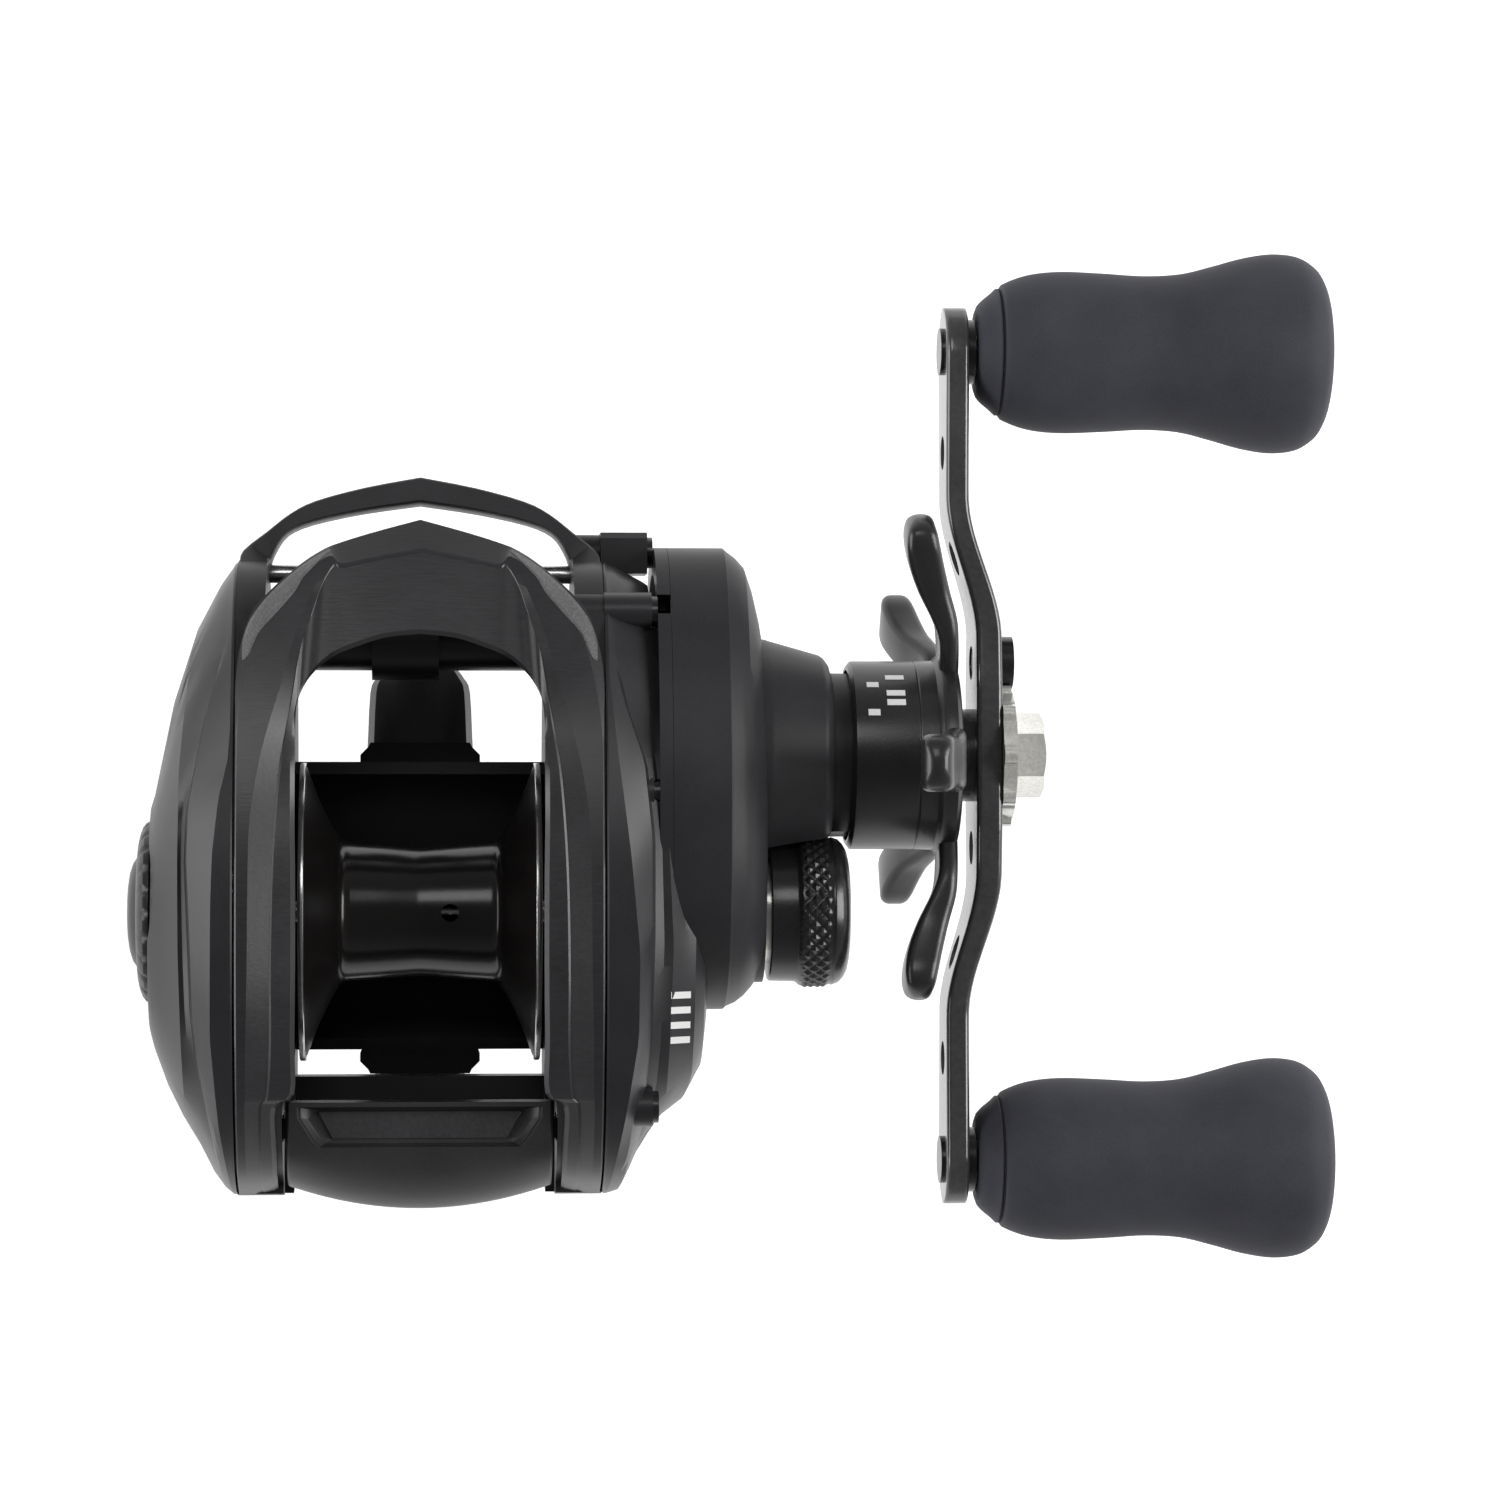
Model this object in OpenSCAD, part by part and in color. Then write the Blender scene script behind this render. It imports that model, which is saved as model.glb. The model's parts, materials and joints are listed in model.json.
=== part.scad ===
// Low-profile baitcasting reel, right-hand wind.
// Frame: X along the spool axis towards the handle, Y towards the line exit, Z away from the rod.
// Origin: centre of the reel foot's flat seat. All sizes in millimetres.

/* [Frame] */
// Distance from the middle of the frame to each side-cover joint
seam_x = 24.3; // [23.5:0.1:25]
// Distance from the middle of the frame to the inside of each frame wall
wall_x = 16.9; // [16.8:0.1:17.4]
// Height of the spool axis above the foot seat
spool_z = 27; // [26.8:0.1:27.4]
// Distance from the spool axis forward to the drive shaft
drive_y = 21.1; // [20.9:0.1:21.4]
// Height of the drive shaft above the foot seat
drive_z = 24; // [23.8:0.1:24.2]
// Wall thickness of the covers
cover_t = 2; // [1.6:0.1:2.2]

/* [Spool] */
// Radius of the spool flanges
flange_r = 20; // [18.5:0.1:20]
// Outer half width of the spool
spool_half = 16.6; // [16:0.1:16.6]
// Arbor radius in the middle of its V
arbor_r = 8.6; // [8:0.1:9.5]
// Radius of the spool shaft
spool_shaft_r = 1.5; // [1.2:0.1:1.5]

/* [Gears] */
// Teeth on the main gear
main_teeth = 53; // [50:1:56]
// Teeth on the pinion
pinion_teeth = 10; // [10:1:11]
// Teeth on the level-wind drive gear
wind_teeth = 30; // [28:1:30]
// Teeth on the worm shaft gear
worm_teeth = 15; // [14:1:16]
// Distance from the drive shaft forward to the worm shaft
worm_offset = 15.3; // [15.2:0.05:15.4]

/* [Handle] */
// Distance between the two knob axes
handle_span = 110; // [96:1:112]
// Half width of the arm at the drive shaft
arm_half = 7.5; // [7:0.1:8.5]
// Largest radius of a knob
knob_r = 13.6; // [12:0.1:14]
// Reach of the star arms from the drive shaft
star_r = 33.9; // [30:0.1:34]

/* [Level wind] */
// Inner radius of the line guide ring
ring_r = 3.2; // [2.8:0.1:3.3]
// Sideways place of the line guide at rest
guide_x = -2; // [-8:0.5:8]

/* [Hidden] */

run = 0.03;          // radial clearance of a running fit
gap = 0.3;           // air between moving bodies
eps = 0.5;           // overshoot of a cut past a face
fine = 64;           // segments of a round feature
side_n = 4;          // steps between two outline points
worm_y = drive_y + worm_offset;
worm_z = drive_z;
guide_rod_y = 45.7;
guide_rod_z = 20.5;
guide_rod_r = 1.25;
gear_distance = norm([drive_y, spool_z - drive_z]);
main_module = 2 * gear_distance / (main_teeth + pinion_teeth);
wind_module = 2 * worm_offset / (wind_teeth + worm_teeth);
mesh_angle = atan2(spool_z - drive_z, -drive_y);
pressure = 25;
backlash = 0.12;
knob_y = handle_span / 2;

black_paint = [0.13, 0.13, 0.14];
satin_black = [0.07, 0.07, 0.075];
dark_metal = [0.05, 0.05, 0.055];
steel = [0.62, 0.63, 0.65];
rubber = [0.1, 0.105, 0.115];
gold = [0.72, 0.58, 0.3];
white_ceramic = [0.75, 0.76, 0.78];
carbon = [0.16, 0.16, 0.17];
nylon = [0.82, 0.8, 0.74];

// ---------- shared shapes ----------

// Closed smooth curve through hand-placed points (Catmull-Rom).
function spline_at(a, b, c, d, t) = 0.5 * (2 * b + (c - a) * t + (2 * a - 5 * b + 4 * c - d) * t * t
    + (3 * b - a - 3 * c + d) * t * t * t);
function smooth_path(p, steps) = let (n = len(p)) concat([for (i = [0 : n - 2], s = [0 : steps - 1])
    spline_at(p[max(i - 1, 0)], p[i], p[i + 1], p[min(i + 2, n - 1)], s / steps)], [p[n - 1]]);
function smooth_loop(p, steps) = let (n = len(p)) [for (i = [0 : n - 1], s = [0 : steps - 1])
    spline_at(p[(i + n - 1) % n], p[i], p[(i + 1) % n], p[(i + 2) % n], s / steps)];

// Side view of the body at the cover joints, as [y, z], counter-clockwise from the nose.
side_points = [[47.2, 25.5], [45.2, 34.5], [37.5, 41.6], [26, 46.6], [13, 49.6], [0, 50.5], [-13, 49.9],
    [-25, 46.8], [-33.6, 40.2], [-37.8, 29.5], [-36.4, 17.5], [-28, 8.2], [-13, 3.4], [5, 2.5],
    [23, 3.4], [36.5, 8.2], [44.8, 16.2]];
side_y = [-37.8, 47.2];
side_z = [2.5, 50.5];
side_loop = smooth_loop(side_points, side_n);
function fit_loop(y, z) = [for (p = side_loop) [
    y[0] + (p[0] - side_y[0]) * (y[1] - y[0]) / (side_y[1] - side_y[0]),
    z[0] + (p[1] - side_z[0]) * (z[1] - z[0]) / (side_z[1] - side_z[0])]];
function inner_loop(t) = fit_loop([side_y[0] + t, side_y[1] - t], [side_z[0] + t, side_z[1] - t]);
// One cross-section of a side cover: s = [x, y low, y high, z low, z high], shrunk by t.
function section(s, t = 0) =
    [for (p = fit_loop([s[1] + t, s[2] - t], [s[3] + t, s[4] - t])) [s[0], p[0], p[1]]];

// Solid between loops of the same point count, closed at both ends.
module skin(loops) {
    n = len(loops[0]);
    last = len(loops) - 1;
    polyhedron(
        points = [for (l = loops, p = l) p],
        faces = concat(
            [[for (j = [0 : n - 1]) j]],
            [for (i = [0 : last - 1], j = [0 : n - 1])
                let (a = i * n + j, b = i * n + (j + 1) % n) each [[a, a + n, b + n], [a, b + n, b]]],
            [[for (j = [n - 1 : -1 : 0]) last * n + j]]));
}
// Cup open towards low x: outer sections, and one wall thickness per inner section.
module cup(outer, walls) {
    inner = [for (i = [len(walls) - 1 : -1 : 0]) section(outer[i], walls[i])];
    skin(concat(inner, [for (s = outer) section(s)]));
}
module along_x(x0, x1) { translate([x0, 0, 0]) rotate([90, 0, 90]) linear_extrude(x1 - x0) children(); }
module rod_x(x0, x1, r, r2 = -1) {
    translate([x0, 0, 0]) rotate([0, 90, 0]) cylinder(h = x1 - x0, r1 = r, r2 = r2 < 0 ? r : r2, $fn = fine);
}
module tube_x(x0, x1, r, bore) {
    difference() {
        rod_x(x0, x1, r);
        rod_x(x0 - eps, x1 + eps, bore);
    }
}
// Profile of [radius, x] points turned round the X axis.
module turned(profile) { rotate([0, 90, 0]) rotate_extrude($fn = fine) polygon(profile); }
module at_spool() { translate([0, 0, spool_z]) children(); }
module at_drive() { translate([0, drive_y, drive_z]) children(); }
module at_worm() { translate([0, worm_y, worm_z]) children(); }
module both_sides() {
    children();
    mirror([1, 0, 0]) children();
}
module plan(points, z0, z1) { translate([0, 0, z0]) linear_extrude(z1 - z0) polygon(points); }
function mirrored(half)
    = concat(half, [for (i = [len(half) - 1 : -1 : 0]) if (half[i][0] > 0.01) [-half[i][0], half[i][1]]]);

// Involute spur gear outline. Stub teeth, so that ten teeth need no undercut.
function involute(a) = tan(a) * 180 / PI - a;
function tooth_half(r, n, m) = let (pitch = n * m / 2, base = pitch * cos(pressure))
    90 / n - backlash / 2 / pitch * 180 / PI / 2 + involute(pressure)
        - involute(r > base ? acos(base / r) : 0);
function gear_loop(n, m, phase) = let (pitch = n * m / 2, root = pitch - m, tip = pitch + 0.8 * m,
    radii = [root, max(root + 0.05, pitch * cos(pressure) + 0.01), pitch, tip])
    [for (k = [0 : n - 1]) each concat(
        [for (r = radii) let (a = phase + k * 360 / n - tooth_half(r, n, m)) r * [cos(a), sin(a)]],
        [for (i = [3 : -1 : 0])
            let (r = radii[i], a = phase + k * 360 / n + tooth_half(r, n, m)) r * [cos(a), sin(a)]])];
module gear_x(x0, x1, n, m, phase, bore) {
    difference() {
        along_x(x0, x1) polygon(gear_loop(n, m, phase));
        rod_x(x0 - eps, x1 + eps, bore);
    }
}
// Ball bearing drawn as outer ring, inner ring and shield, each a closed ring.
module bearing_x(x0, x1, r, bore) {
    inner = bore + (r - bore) * 0.3;
    outer = bore + (r - bore) * 0.7;
    tube_x(x0, x1, r, outer);
    tube_x(x0, x1, inner, bore);
    tube_x(x0 + 0.4, x1 - 0.4, outer - 0.02, inner + 0.02);
}

// ---------- body ----------

frame_x = seam_x - gap;                        // outside of the frame walls
seat_r = flange_r + 0.4;                       // spool opening in the palm-side wall
plate_x = wall_x + 3;                          // outside of the frame's wall plates
rim_t = 2.2;                                   // thickness of the rim round each wall
nose_x = 20.4;                                 // inside of the walls ahead of the worm
arch_outer = mirrored([[0, 58.4], [12, 55.7], [16.5, 53.8], [20.5, 50.5], [frame_x, 46.6], [frame_x, 40]]);
arch_inner = mirrored([[0, 54.5], [12, 51.8], [17, 49.6], [19.6, 47], [nose_x, 43.8], [nose_x, 30]]);
arch_z = [19.5, 26.5];
split_z = 31;                                  // below this the frame shows, above it the top cover
// Top cover seen from the side, from its rear end to the peak over the line guide.
hood_top = smooth_path([[-37.7, split_z], [-33.6, 40.2], [-25, 46.8], [-13, 49.9], [0, 50.5], [13, 49.6],
    [26, 46.9], [36, 43.8], [45, 40.4], [52.6, 36.4]], side_n);
hood_under = smooth_path([[-35.7, split_z], [-31.9, 39], [-24, 44.8], [-12.5, 47.9], [0, 48.5], [12.5, 47.6],
    [25.2, 44.9], [35, 41.9], [44, 38.5], [52.4, 34.8]], side_n);
function over(path) = concat(path, [[60, 40], [60, 70], [-60, 70], [-60, split_z]]);

cradle_rear = 57.5;                            // degrees the cradle reaches behind the lowest line
cradle_front = 63;                             // degrees it reaches ahead of it

// Threaded places of the gear-side screws, [y, z].
screw_places = [[48.6, 23], [40, 37.4], [16, 43.9], [-25.5, 41]];
module wall_outline() {
    difference() {
        polygon(side_loop);
        polygon(over([for (p = hood_under) p - [0, 0.05]]));
    }
}
module frame() {
    color(black_paint) difference() {
        union() {
            both_sides() difference() {
                along_x(wall_x, frame_x) wall_outline();
                difference() {
                    along_x(plate_x, seam_x + eps) polygon(inner_loop(cover_t + rim_t));
                    translate([0, 40.9, -5]) cube([60, 20, 60]);
                }
            }
            // threaded bosses for the gear-side screws, the front one on the end of the guard
            for (p = screw_places) translate([0, p[0], p[1]]) rod_x(plate_x - 0.1, frame_x, 2.4);
            translate([nose_x, 45, 20]) cube([frame_x - nose_x, 6, 6]);
            // cradle under the spool
            at_spool() rotate([0, 90, 0]) rotate([0, 0, -cradle_rear]) translate([0, 0, -wall_x - 0.2])
                rotate_extrude(angle = cradle_rear + cradle_front, $fn = fine)
                    translate([flange_r + 0.8, 0]) square([1.9, 2 * wall_x + 0.4]);
            translate([-7, -13, 2.3]) cube([14, 26, 2.9]);
            // rear crossbar
            translate([-wall_x - 0.2, -27, 13.5]) cube([2 * wall_x + 0.4, 4.4, 5]);
            // front guard
            difference() {
                plan(arch_outer, arch_z[0], arch_z[1]);
                plan(arch_inner, arch_z[0] - 1, arch_z[1] + 1);
            }
        }
        translate([-nose_x, 41, -5]) cube([2 * nose_x, 8, 60]);
        at_spool() {
            rod_x(-30, -wall_x + eps, seat_r);
            rod_x(wall_x - eps, 30, 5);
        }
        at_drive() rod_x(wall_x + 0.8, 30, 5.03);
        at_worm() rod_x(-30, 30, 4);
        translate([0, guide_rod_y, guide_rod_z]) rod_x(-nose_x - 1.2, nose_x + 1.2, guide_rod_r);
        both_sides() translate([wall_x - eps, -30.3, 28.7]) cube([3 + 2 * eps, 3.6, 9.1]);
        both_sides() translate([15, -50, 24.4]) cube([3.1, 25.8, 30]);
        for (y = foot_screw_y) translate([0, y, 0]) cylinder(h = 5, r = 1.1, $fn = fine);
        for (p = screw_places) translate([20.6, p[0], p[1]]) rod_x(0, 10, 1);
    }
}

foot_front = 35.2;
foot_rear = -33;
foot_screw_y = [-9, 9];
module reel_foot() {
    // cross-section of the foot: flat seat in the middle, edges turned down to grip the reel seat
    profile = [[-7.4, -1.2], [-6.6, -1.5], [-2.5, 0], [2.5, 0], [6.6, -1.5], [7.4, -1.2], [6, 0.9],
        [3.2, 2.25], [-3.2, 2.25], [-6, 0.9]];
    outline = concat(
        [for (a = [20 : 20 : 160]) [5.2 * cos(a), foot_front - 5 + 5 * sin(a)]],
        [[-7, 22], [-7.7, 14], [-7.9, -14], [-7.2, -20]],
        [for (a = [200 : 20 : 340]) [5.2 * cos(a), foot_rear + 5 + 5 * sin(a)]],
        [[7.2, -20], [7.9, -14], [7.7, 14], [7, 22]]);
    color(satin_black) difference() {
        intersection() {
            rotate([90, 0, 0]) translate([0, 0, -40]) linear_extrude(80) polygon(profile);
            translate([0, 0, -4]) linear_extrude(10) polygon(outline);
        }
        // the toes thin out towards their tips
        translate([-12, 0, 0]) along_x(0, 24) polygon([[22, 2.3], [36, 1.3], [36, 4], [22, 4]]);
        translate([-12, 0, 0]) along_x(0, 24) polygon([[-20, 2.3], [-34, 1.3], [-34, 4], [-20, 4]]);
        for (y = foot_screw_y) translate([0, y, -1]) {
            cylinder(h = 5, r = 1.1, $fn = fine);
            cylinder(h = 2, r = 2.2, $fn = fine);
        }
    }
}
module foot_screws() {
    color(steel) for (y = foot_screw_y) translate([0, y, 0]) difference() {
        union() {
            translate([0, 0, 0.1]) cylinder(h = 0.9, r = 2.15, $fn = fine);
            cylinder(h = 4.9, r = 1.1, $fn = fine);
        }
        translate([-3, -0.35, -1]) cube([6, 0.7, 1.4]);
    }
}

// Top cover: hood over the line guide and a rail over each frame wall.
cover_plan = mirrored([[0, 52.3], [12, 49], [16.4, 47], [20.4, 42.8], [22.9, 38.6], [frame_x, 35],
    [frame_x, -37.9]]);
opening_plan = mirrored([[0, 36.8], [7.3, 34.4], [13.2, 30.7], [16.1, 27.4], [16.9, 23.5], [16.6, 19],
    [15.9, 12],
    [15.9, -24.2], [18.1, -24.2], [18.1, -45]]);
inlay_plan = [[frame_x, 33], [frame_x, 35], [22.9, 38.6], [20.4, 42.8], [16.4, 47], [12.2, 48.9],
    [12.2, 47.5],
    [16, 42.6], [18.4, 39.8], [20.9, 36.6], [22.6, 33.8]];
inlay_t = 0.6;
inlay_floor = [for (p = hood_top) p - [0, inlay_t]];
module inlay_recess() {
    intersection() {
        along_x(-seam_x, seam_x) polygon(over(inlay_floor));
        both_sides() plan(inlay_plan, 20, 60);
    }
}
module top_cover() {
    color(black_paint) difference() {
        intersection() {
            along_x(-seam_x, seam_x) difference() {
                polygon(over(hood_under));
                polygon(over(hood_top));
            }
            plan(cover_plan, 20, 60);
        }
        plan(opening_plan, 0, 70);
        inlay_recess();
    }
}
module cover_inlays() {
    color([0.3, 0.3, 0.31]) difference() {
        inlay_recess();
        along_x(-30, 30) polygon(over(hood_top));
    }
}

// Palm side cover: dished shell, [x, rear, front, bottom, top].
palm_sections = [[24.3, -37.8, 47.2, 2.5, 50.5], [26, -36.8, 44.6, 3.2, 49.6], [28, -33.2, 41.4, 5, 47.6],
    [30, -29.4, 37, 7.5, 45], [32, -26.3, 30.8, 9.8, 42.5], [34, -22, 22.5, 12, 40.5],
        [35.8, -16.4, 15, 13.8, 39]];
palm_walls = [2, 2.3, 2.7, 3.2, 4, 5.5];
dial_r = 12.2;
module palm_side_cover() {
    color(black_paint) difference() {
        union() {
            mirror([1, 0, 0]) cup(palm_sections, palm_walls);
            at_spool() rod_x(-34.6, -27.5, 7);
        }
        at_spool() {
            rod_x(-31.5, -20, 5 + run);
            rod_x(-40, -32.6, 3);
        }
    }
}
module brake_race() {
    color(steel) at_spool() {
        difference() {
            union() {
                rod_x(-29, -27.6, 14.5);
                rod_x(-27.7, -21, 14.5);
            }
            rod_x(-27.6, -20, 13);
            rod_x(-30, -26, 7);
        }
    }
}
module brake_dial() {
    ridges = 24;
    color(satin_black) at_spool() {
        rod_x(-35.95, -32.9, 3 - run);
        difference() {
            turned([[0, -35.95], [dial_r, -35.95], [dial_r, -36.7], [dial_r - 0.9, -37.3], [8.4, -37.5],
                [7.2, -37], [6.4, -37],
                [6.2, -38.3], [4.2, -38.9], [0, -39.1]]);
            for (k = [0 : ridges - 1]) rotate([k * 360 / ridges, 0, 0]) translate([-38.5, 0, dial_r])
                rod_x(0, 2, 0.45);
        }
    }
}

// ---------- spool and cast brakes ----------

module spool() {
    rim = spool_half;
    color(dark_metal) difference() {
        at_spool() turned([[spool_shaft_r, -1.5], [6.9, -1.5], [7.3, -10], [9.4, -11.6], [12.4, -15.6],
            [19.2, -rim], [flange_r, -rim],
            [flange_r, -rim + 0.9], [19.6, -rim + 1.3], [13, -14.2], [10.6, -11.2], [9.4, -10.4],
                [arbor_r, 0], [9.4, 10.4],
            [10.6, 11.2], [13, 14.2], [19.6, rim - 1.3], [flange_r, rim - 0.9], [flange_r, rim], [19.2, rim],
            [12.4, 15.6], [9.4, 11.6], [7.3, 10], [6.9, 1.5], [spool_shaft_r, 1.5]]);
        translate([4, 0, spool_z]) cylinder(h = 30, r = 1.2, $fn = fine);
    }
}
pin_x = 27.6;
pin_r = 0.6;
module spool_shaft() {
    color(steel) difference() {
        at_spool() rod_x(-31.2, 52.4, spool_shaft_r);
        translate([pin_x, -5, spool_z]) rotate([-90, 0, 0]) cylinder(h = 10, r = pin_r, $fn = fine);
    }
}
module drive_pin() {
    color(steel) translate([pin_x, -2.6, spool_z]) rotate([-90, 0, 0])
        cylinder(h = 5.2, r = pin_r, $fn = fine);
}
module around_spool(count) {
    at_spool() for (k = [0 : count - 1]) rotate([k * 360 / count, 0, 0]) children();
}
module brake_hub() {
    color(nylon) difference() {
        union() {
            at_spool() rod_x(-24.6, -17, 4.2);
            around_spool(6) translate([-22.8, 0, 0]) cylinder(h = 12.4, r = 0.8, $fn = fine);
        }
        at_spool() rod_x(-30, -15, spool_shaft_r);
    }
}
module brake_blocks() {
    color([0.75, 0.2, 0.15]) difference() {
        around_spool(6) translate([-24.6, -1.6, 7.4]) cube([3.6, 3.2, 3.4]);
        around_spool(6) translate([-22.8, 0, 6]) cylinder(h = 8, r = 0.85, $fn = fine);
    }
}
module spool_bearing_left() { color(steel) at_spool() bearing_x(-31.5, -27.6, 5, spool_shaft_r + run); }
module spool_bearing_right() { color(steel) at_spool() bearing_x(47, 51, 5, spool_shaft_r + run); }

// ---------- gear train ----------

module pinion_gear() {
    color(gold) difference() {
        union() {
            at_spool() rod_x(26.5, 30, 4.3);
            at_spool() rod_x(29.9, 31.5, 3.1);
            at_spool() rod_x(31.4, 33, 4.3);
            at_spool() along_x(32.9, 42.5) polygon(gear_loop(pinion_teeth, main_module, mesh_angle + 180));
        }
        at_spool() rod_x(20, 50, spool_shaft_r + run);
        translate([26, -6, spool_z - 0.75]) cube([2.4, 12, 1.5]);
    }
}
post_dz = 9;
module clutch_yoke() {
    color(nylon) difference() {
        union() {
            translate([30.1, -3.4, spool_z - post_dz - 2.4]) cube([1.2, 5, 2 * post_dz + 4.8]);
            at_spool() rod_x(30.1, 31.3, 6);
        }
        at_spool() rod_x(29, 33, 3.2);
        translate([29, 0, spool_z - 3.2]) cube([4, 8, 6.4]);
        for (s = [-1, 1]) translate([0, 0, spool_z + s * post_dz]) rod_x(29, 33, 1 + run);
    }
}
// Compression spring as a stack of closed rings.
module yoke_springs() {
    color(steel) for (s = [-1, 1], k = [0 : 5]) translate([31.42 + k * 0.9, 0, spool_z + s * post_dz])
        tube_x(0, 0.4, 2, 1.4);
}
module yoke_posts() {
    color(steel) for (s = [-1, 1]) translate([0, 0, spool_z + s * post_dz]) {
        rod_x(25.9, 36.6, 1);
        rod_x(36.5, 37.2, 2.1);
    }
}
module gear_plate() {
    color(steel) difference() {
        union() {
            along_x(24.5, 25.9) polygon(fit_loop([-20, 41.5], [8.5, 40.6]));
            // pivot of the anti-reverse dog
            translate([0, dog_y, dog_z]) rod_x(25.8, 33.4, 0.9 - run);
        }
        at_spool() rod_x(24, 27, 6);
        at_drive() rod_x(24, 27, 6);
        at_worm() rod_x(24, 27, 4.6);
        for (s = [-1, 1]) translate([0, 0, spool_z + s * post_dz]) rod_x(20, 25.9, 1);
    }
}
module main_gear() {
    color(gold) at_drive() difference() {
        gear_x(35.2, 39.2, main_teeth, main_module, mesh_angle - 180 / main_teeth, 3.55);
        rod_x(36.4, 40, 15.4);
    }
}
shaft_r = 3.5;
module drive_shaft() {
    color(steel) at_drive() {
        rod_x(18.1, 24, 2.5);
        rod_x(23.9, 33.7, 3.2);
        rod_x(33.6, 35.15, 9);
        rod_x(35.1, 83.6, shaft_r);
    }
}
module drag_washers() { color(carbon) at_drive() for (x = [36.45, 37.75]) tube_x(x, x + 0.6, 15, 3.9); }
module drag_plates() {
    color(steel) at_drive() {
        tube_x(37.08, 37.72, 14.8, shaft_r + 0.05);
        tube_x(38.38, 39.9, 14.8, shaft_r + 0.05);
    }
}
module ratchet() {
    teeth = 12;
    color(steel) at_drive() difference() {
        along_x(31.6, 33.2) polygon([for (k = [0 : teeth - 1]) each [
            11.4 * [cos(k * 30), sin(k * 30)], 11.4 * [cos(k * 30 + 6), sin(k * 30 + 6)],
                9.4 * [cos(k * 30 + 9), sin(k * 30 + 9)]]]);
        rod_x(31, 34, 3.2);
    }
}
dog_y = 6;
dog_z = 38.5;
dog_length = 12;
dog_rest = -9.8;                               // angle of the dog clear of the teeth
module anti_reverse_dog() {
    color(steel) translate([0, dog_y, dog_z]) difference() {
        union() {
            rod_x(31.7, 33.1, 2.2);
            along_x(31.7, 33.1) rotate(dog_rest) polygon([[0, 2.2], [0, -2.1], [7, -1.6], [dog_length, -1.2],
                [dog_length, 0], [7, 1]]);
        }
        rod_x(31, 34, 0.9);
    }
}
module level_wind_drive_gear() {
    color(nylon) at_drive() gear_x(27, 29, wind_teeth, wind_module, -180 / wind_teeth, 3.2);
}
module worm_gear() { color(nylon) at_worm() gear_x(27, 29, worm_teeth, wind_module, 180, 1.6); }

// ---------- level wind ----------

worm_r = 2.7;
module worm_shaft() {
    color(steel) at_worm() {
        rod_x(-23, -16.4, 1.6);
        difference() {
            rod_x(-16.5, 16.5, worm_r);
            for (x = [-14.5 : 3.4 : 14]) tube_x(x, x + 1.3, 4, worm_r - 0.5);
        }
        rod_x(16.4, 29.8, 1.6);
    }
}
module worm_tube() {
    color(satin_black) difference() {
        at_worm() tube_x(-wall_x, wall_x, 3.9, 3);
        translate([-14.6, worm_y - 1.3, worm_z - 6]) cube([29.2, 2.6, 6]);
    }
}
module worm_bushings() {
    color(nylon) at_worm() {
        tube_x(-22, -wall_x, 4, 1.6 + run);
        tube_x(wall_x, 22, 4, 1.6 + run);
    }
}
module guide_rod() {
    color(steel) translate([0, guide_rod_y, guide_rod_z]) rod_x(-nose_x - 1.2, nose_x + 1.2, guide_rod_r);
}
ring_y = 42.4;
ring_z = 31.4;
module line_guide() {
    half = 4.5;
    color(satin_black) difference() {
        union() {
            at_worm() rod_x(guide_x - half, guide_x + half, 5.2);
            translate([guide_x, guide_rod_y, guide_rod_z]) rod_x(-half, half, 2.7);
            along_x(guide_x - half, guide_x + half) polygon([[worm_y, worm_z + 5.2],
                [worm_y + 3, worm_z + 6], [ring_y + 1.5, worm_z + 4],
                [guide_rod_y + 2.4, guide_rod_z + 2], [guide_rod_y, guide_rod_z - 2.6],
                    [worm_y + 2, worm_z - 4.6]]);
            translate([guide_x, ring_y - 1.5, ring_z]) rotate([-90, 0, 0])
                cylinder(h = 3, r = ring_r + 1.9, $fn = fine);
            translate([guide_x - half, ring_y - 1.5, worm_z + 1]) cube([2 * half, 3, 6]);
            at_worm() translate([guide_x, 0, -7.4]) cylinder(h = 4, r = 3.3, $fn = fine);
        }
        at_worm() rod_x(-30, 30, 3.9 + run);
        translate([0, guide_rod_y, guide_rod_z]) rod_x(-30, 30, guide_rod_r + run);
        translate([guide_x, ring_y - 5, ring_z]) rotate([-90, 0, 0])
            cylinder(h = 12, r = ring_r + 1, $fn = fine);
        at_worm() translate([guide_x, 0, -12]) cylinder(h = 12, r = 2.2, $fn = fine);
    }
}
module guide_ring() {
    color(white_ceramic) translate([guide_x, ring_y - 1.5, ring_z]) rotate([-90, 0, 0]) difference() {
        cylinder(h = 3, r = ring_r + 1, $fn = fine);
        translate([0, 0, -1]) cylinder(h = 5, r = ring_r, $fn = fine);
    }
}
module guide_pawl() {
    color(gold) at_worm() translate([guide_x, 0, -6.4]) {
        cylinder(h = 2.4, r = 1.2, $fn = fine);
        translate([0, 0, 2.3]) cylinder(h = 1.2, r = 0.9, $fn = fine);
    }
}
module pawl_cap() {
    color(satin_black) at_worm() translate([guide_x, 0, -8.4]) {
        cylinder(h = 1, r = 3.2, $fn = 6);
        cylinder(h = 2, r = 2.18, $fn = fine);
    }
}

// ---------- clutch ----------

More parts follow.
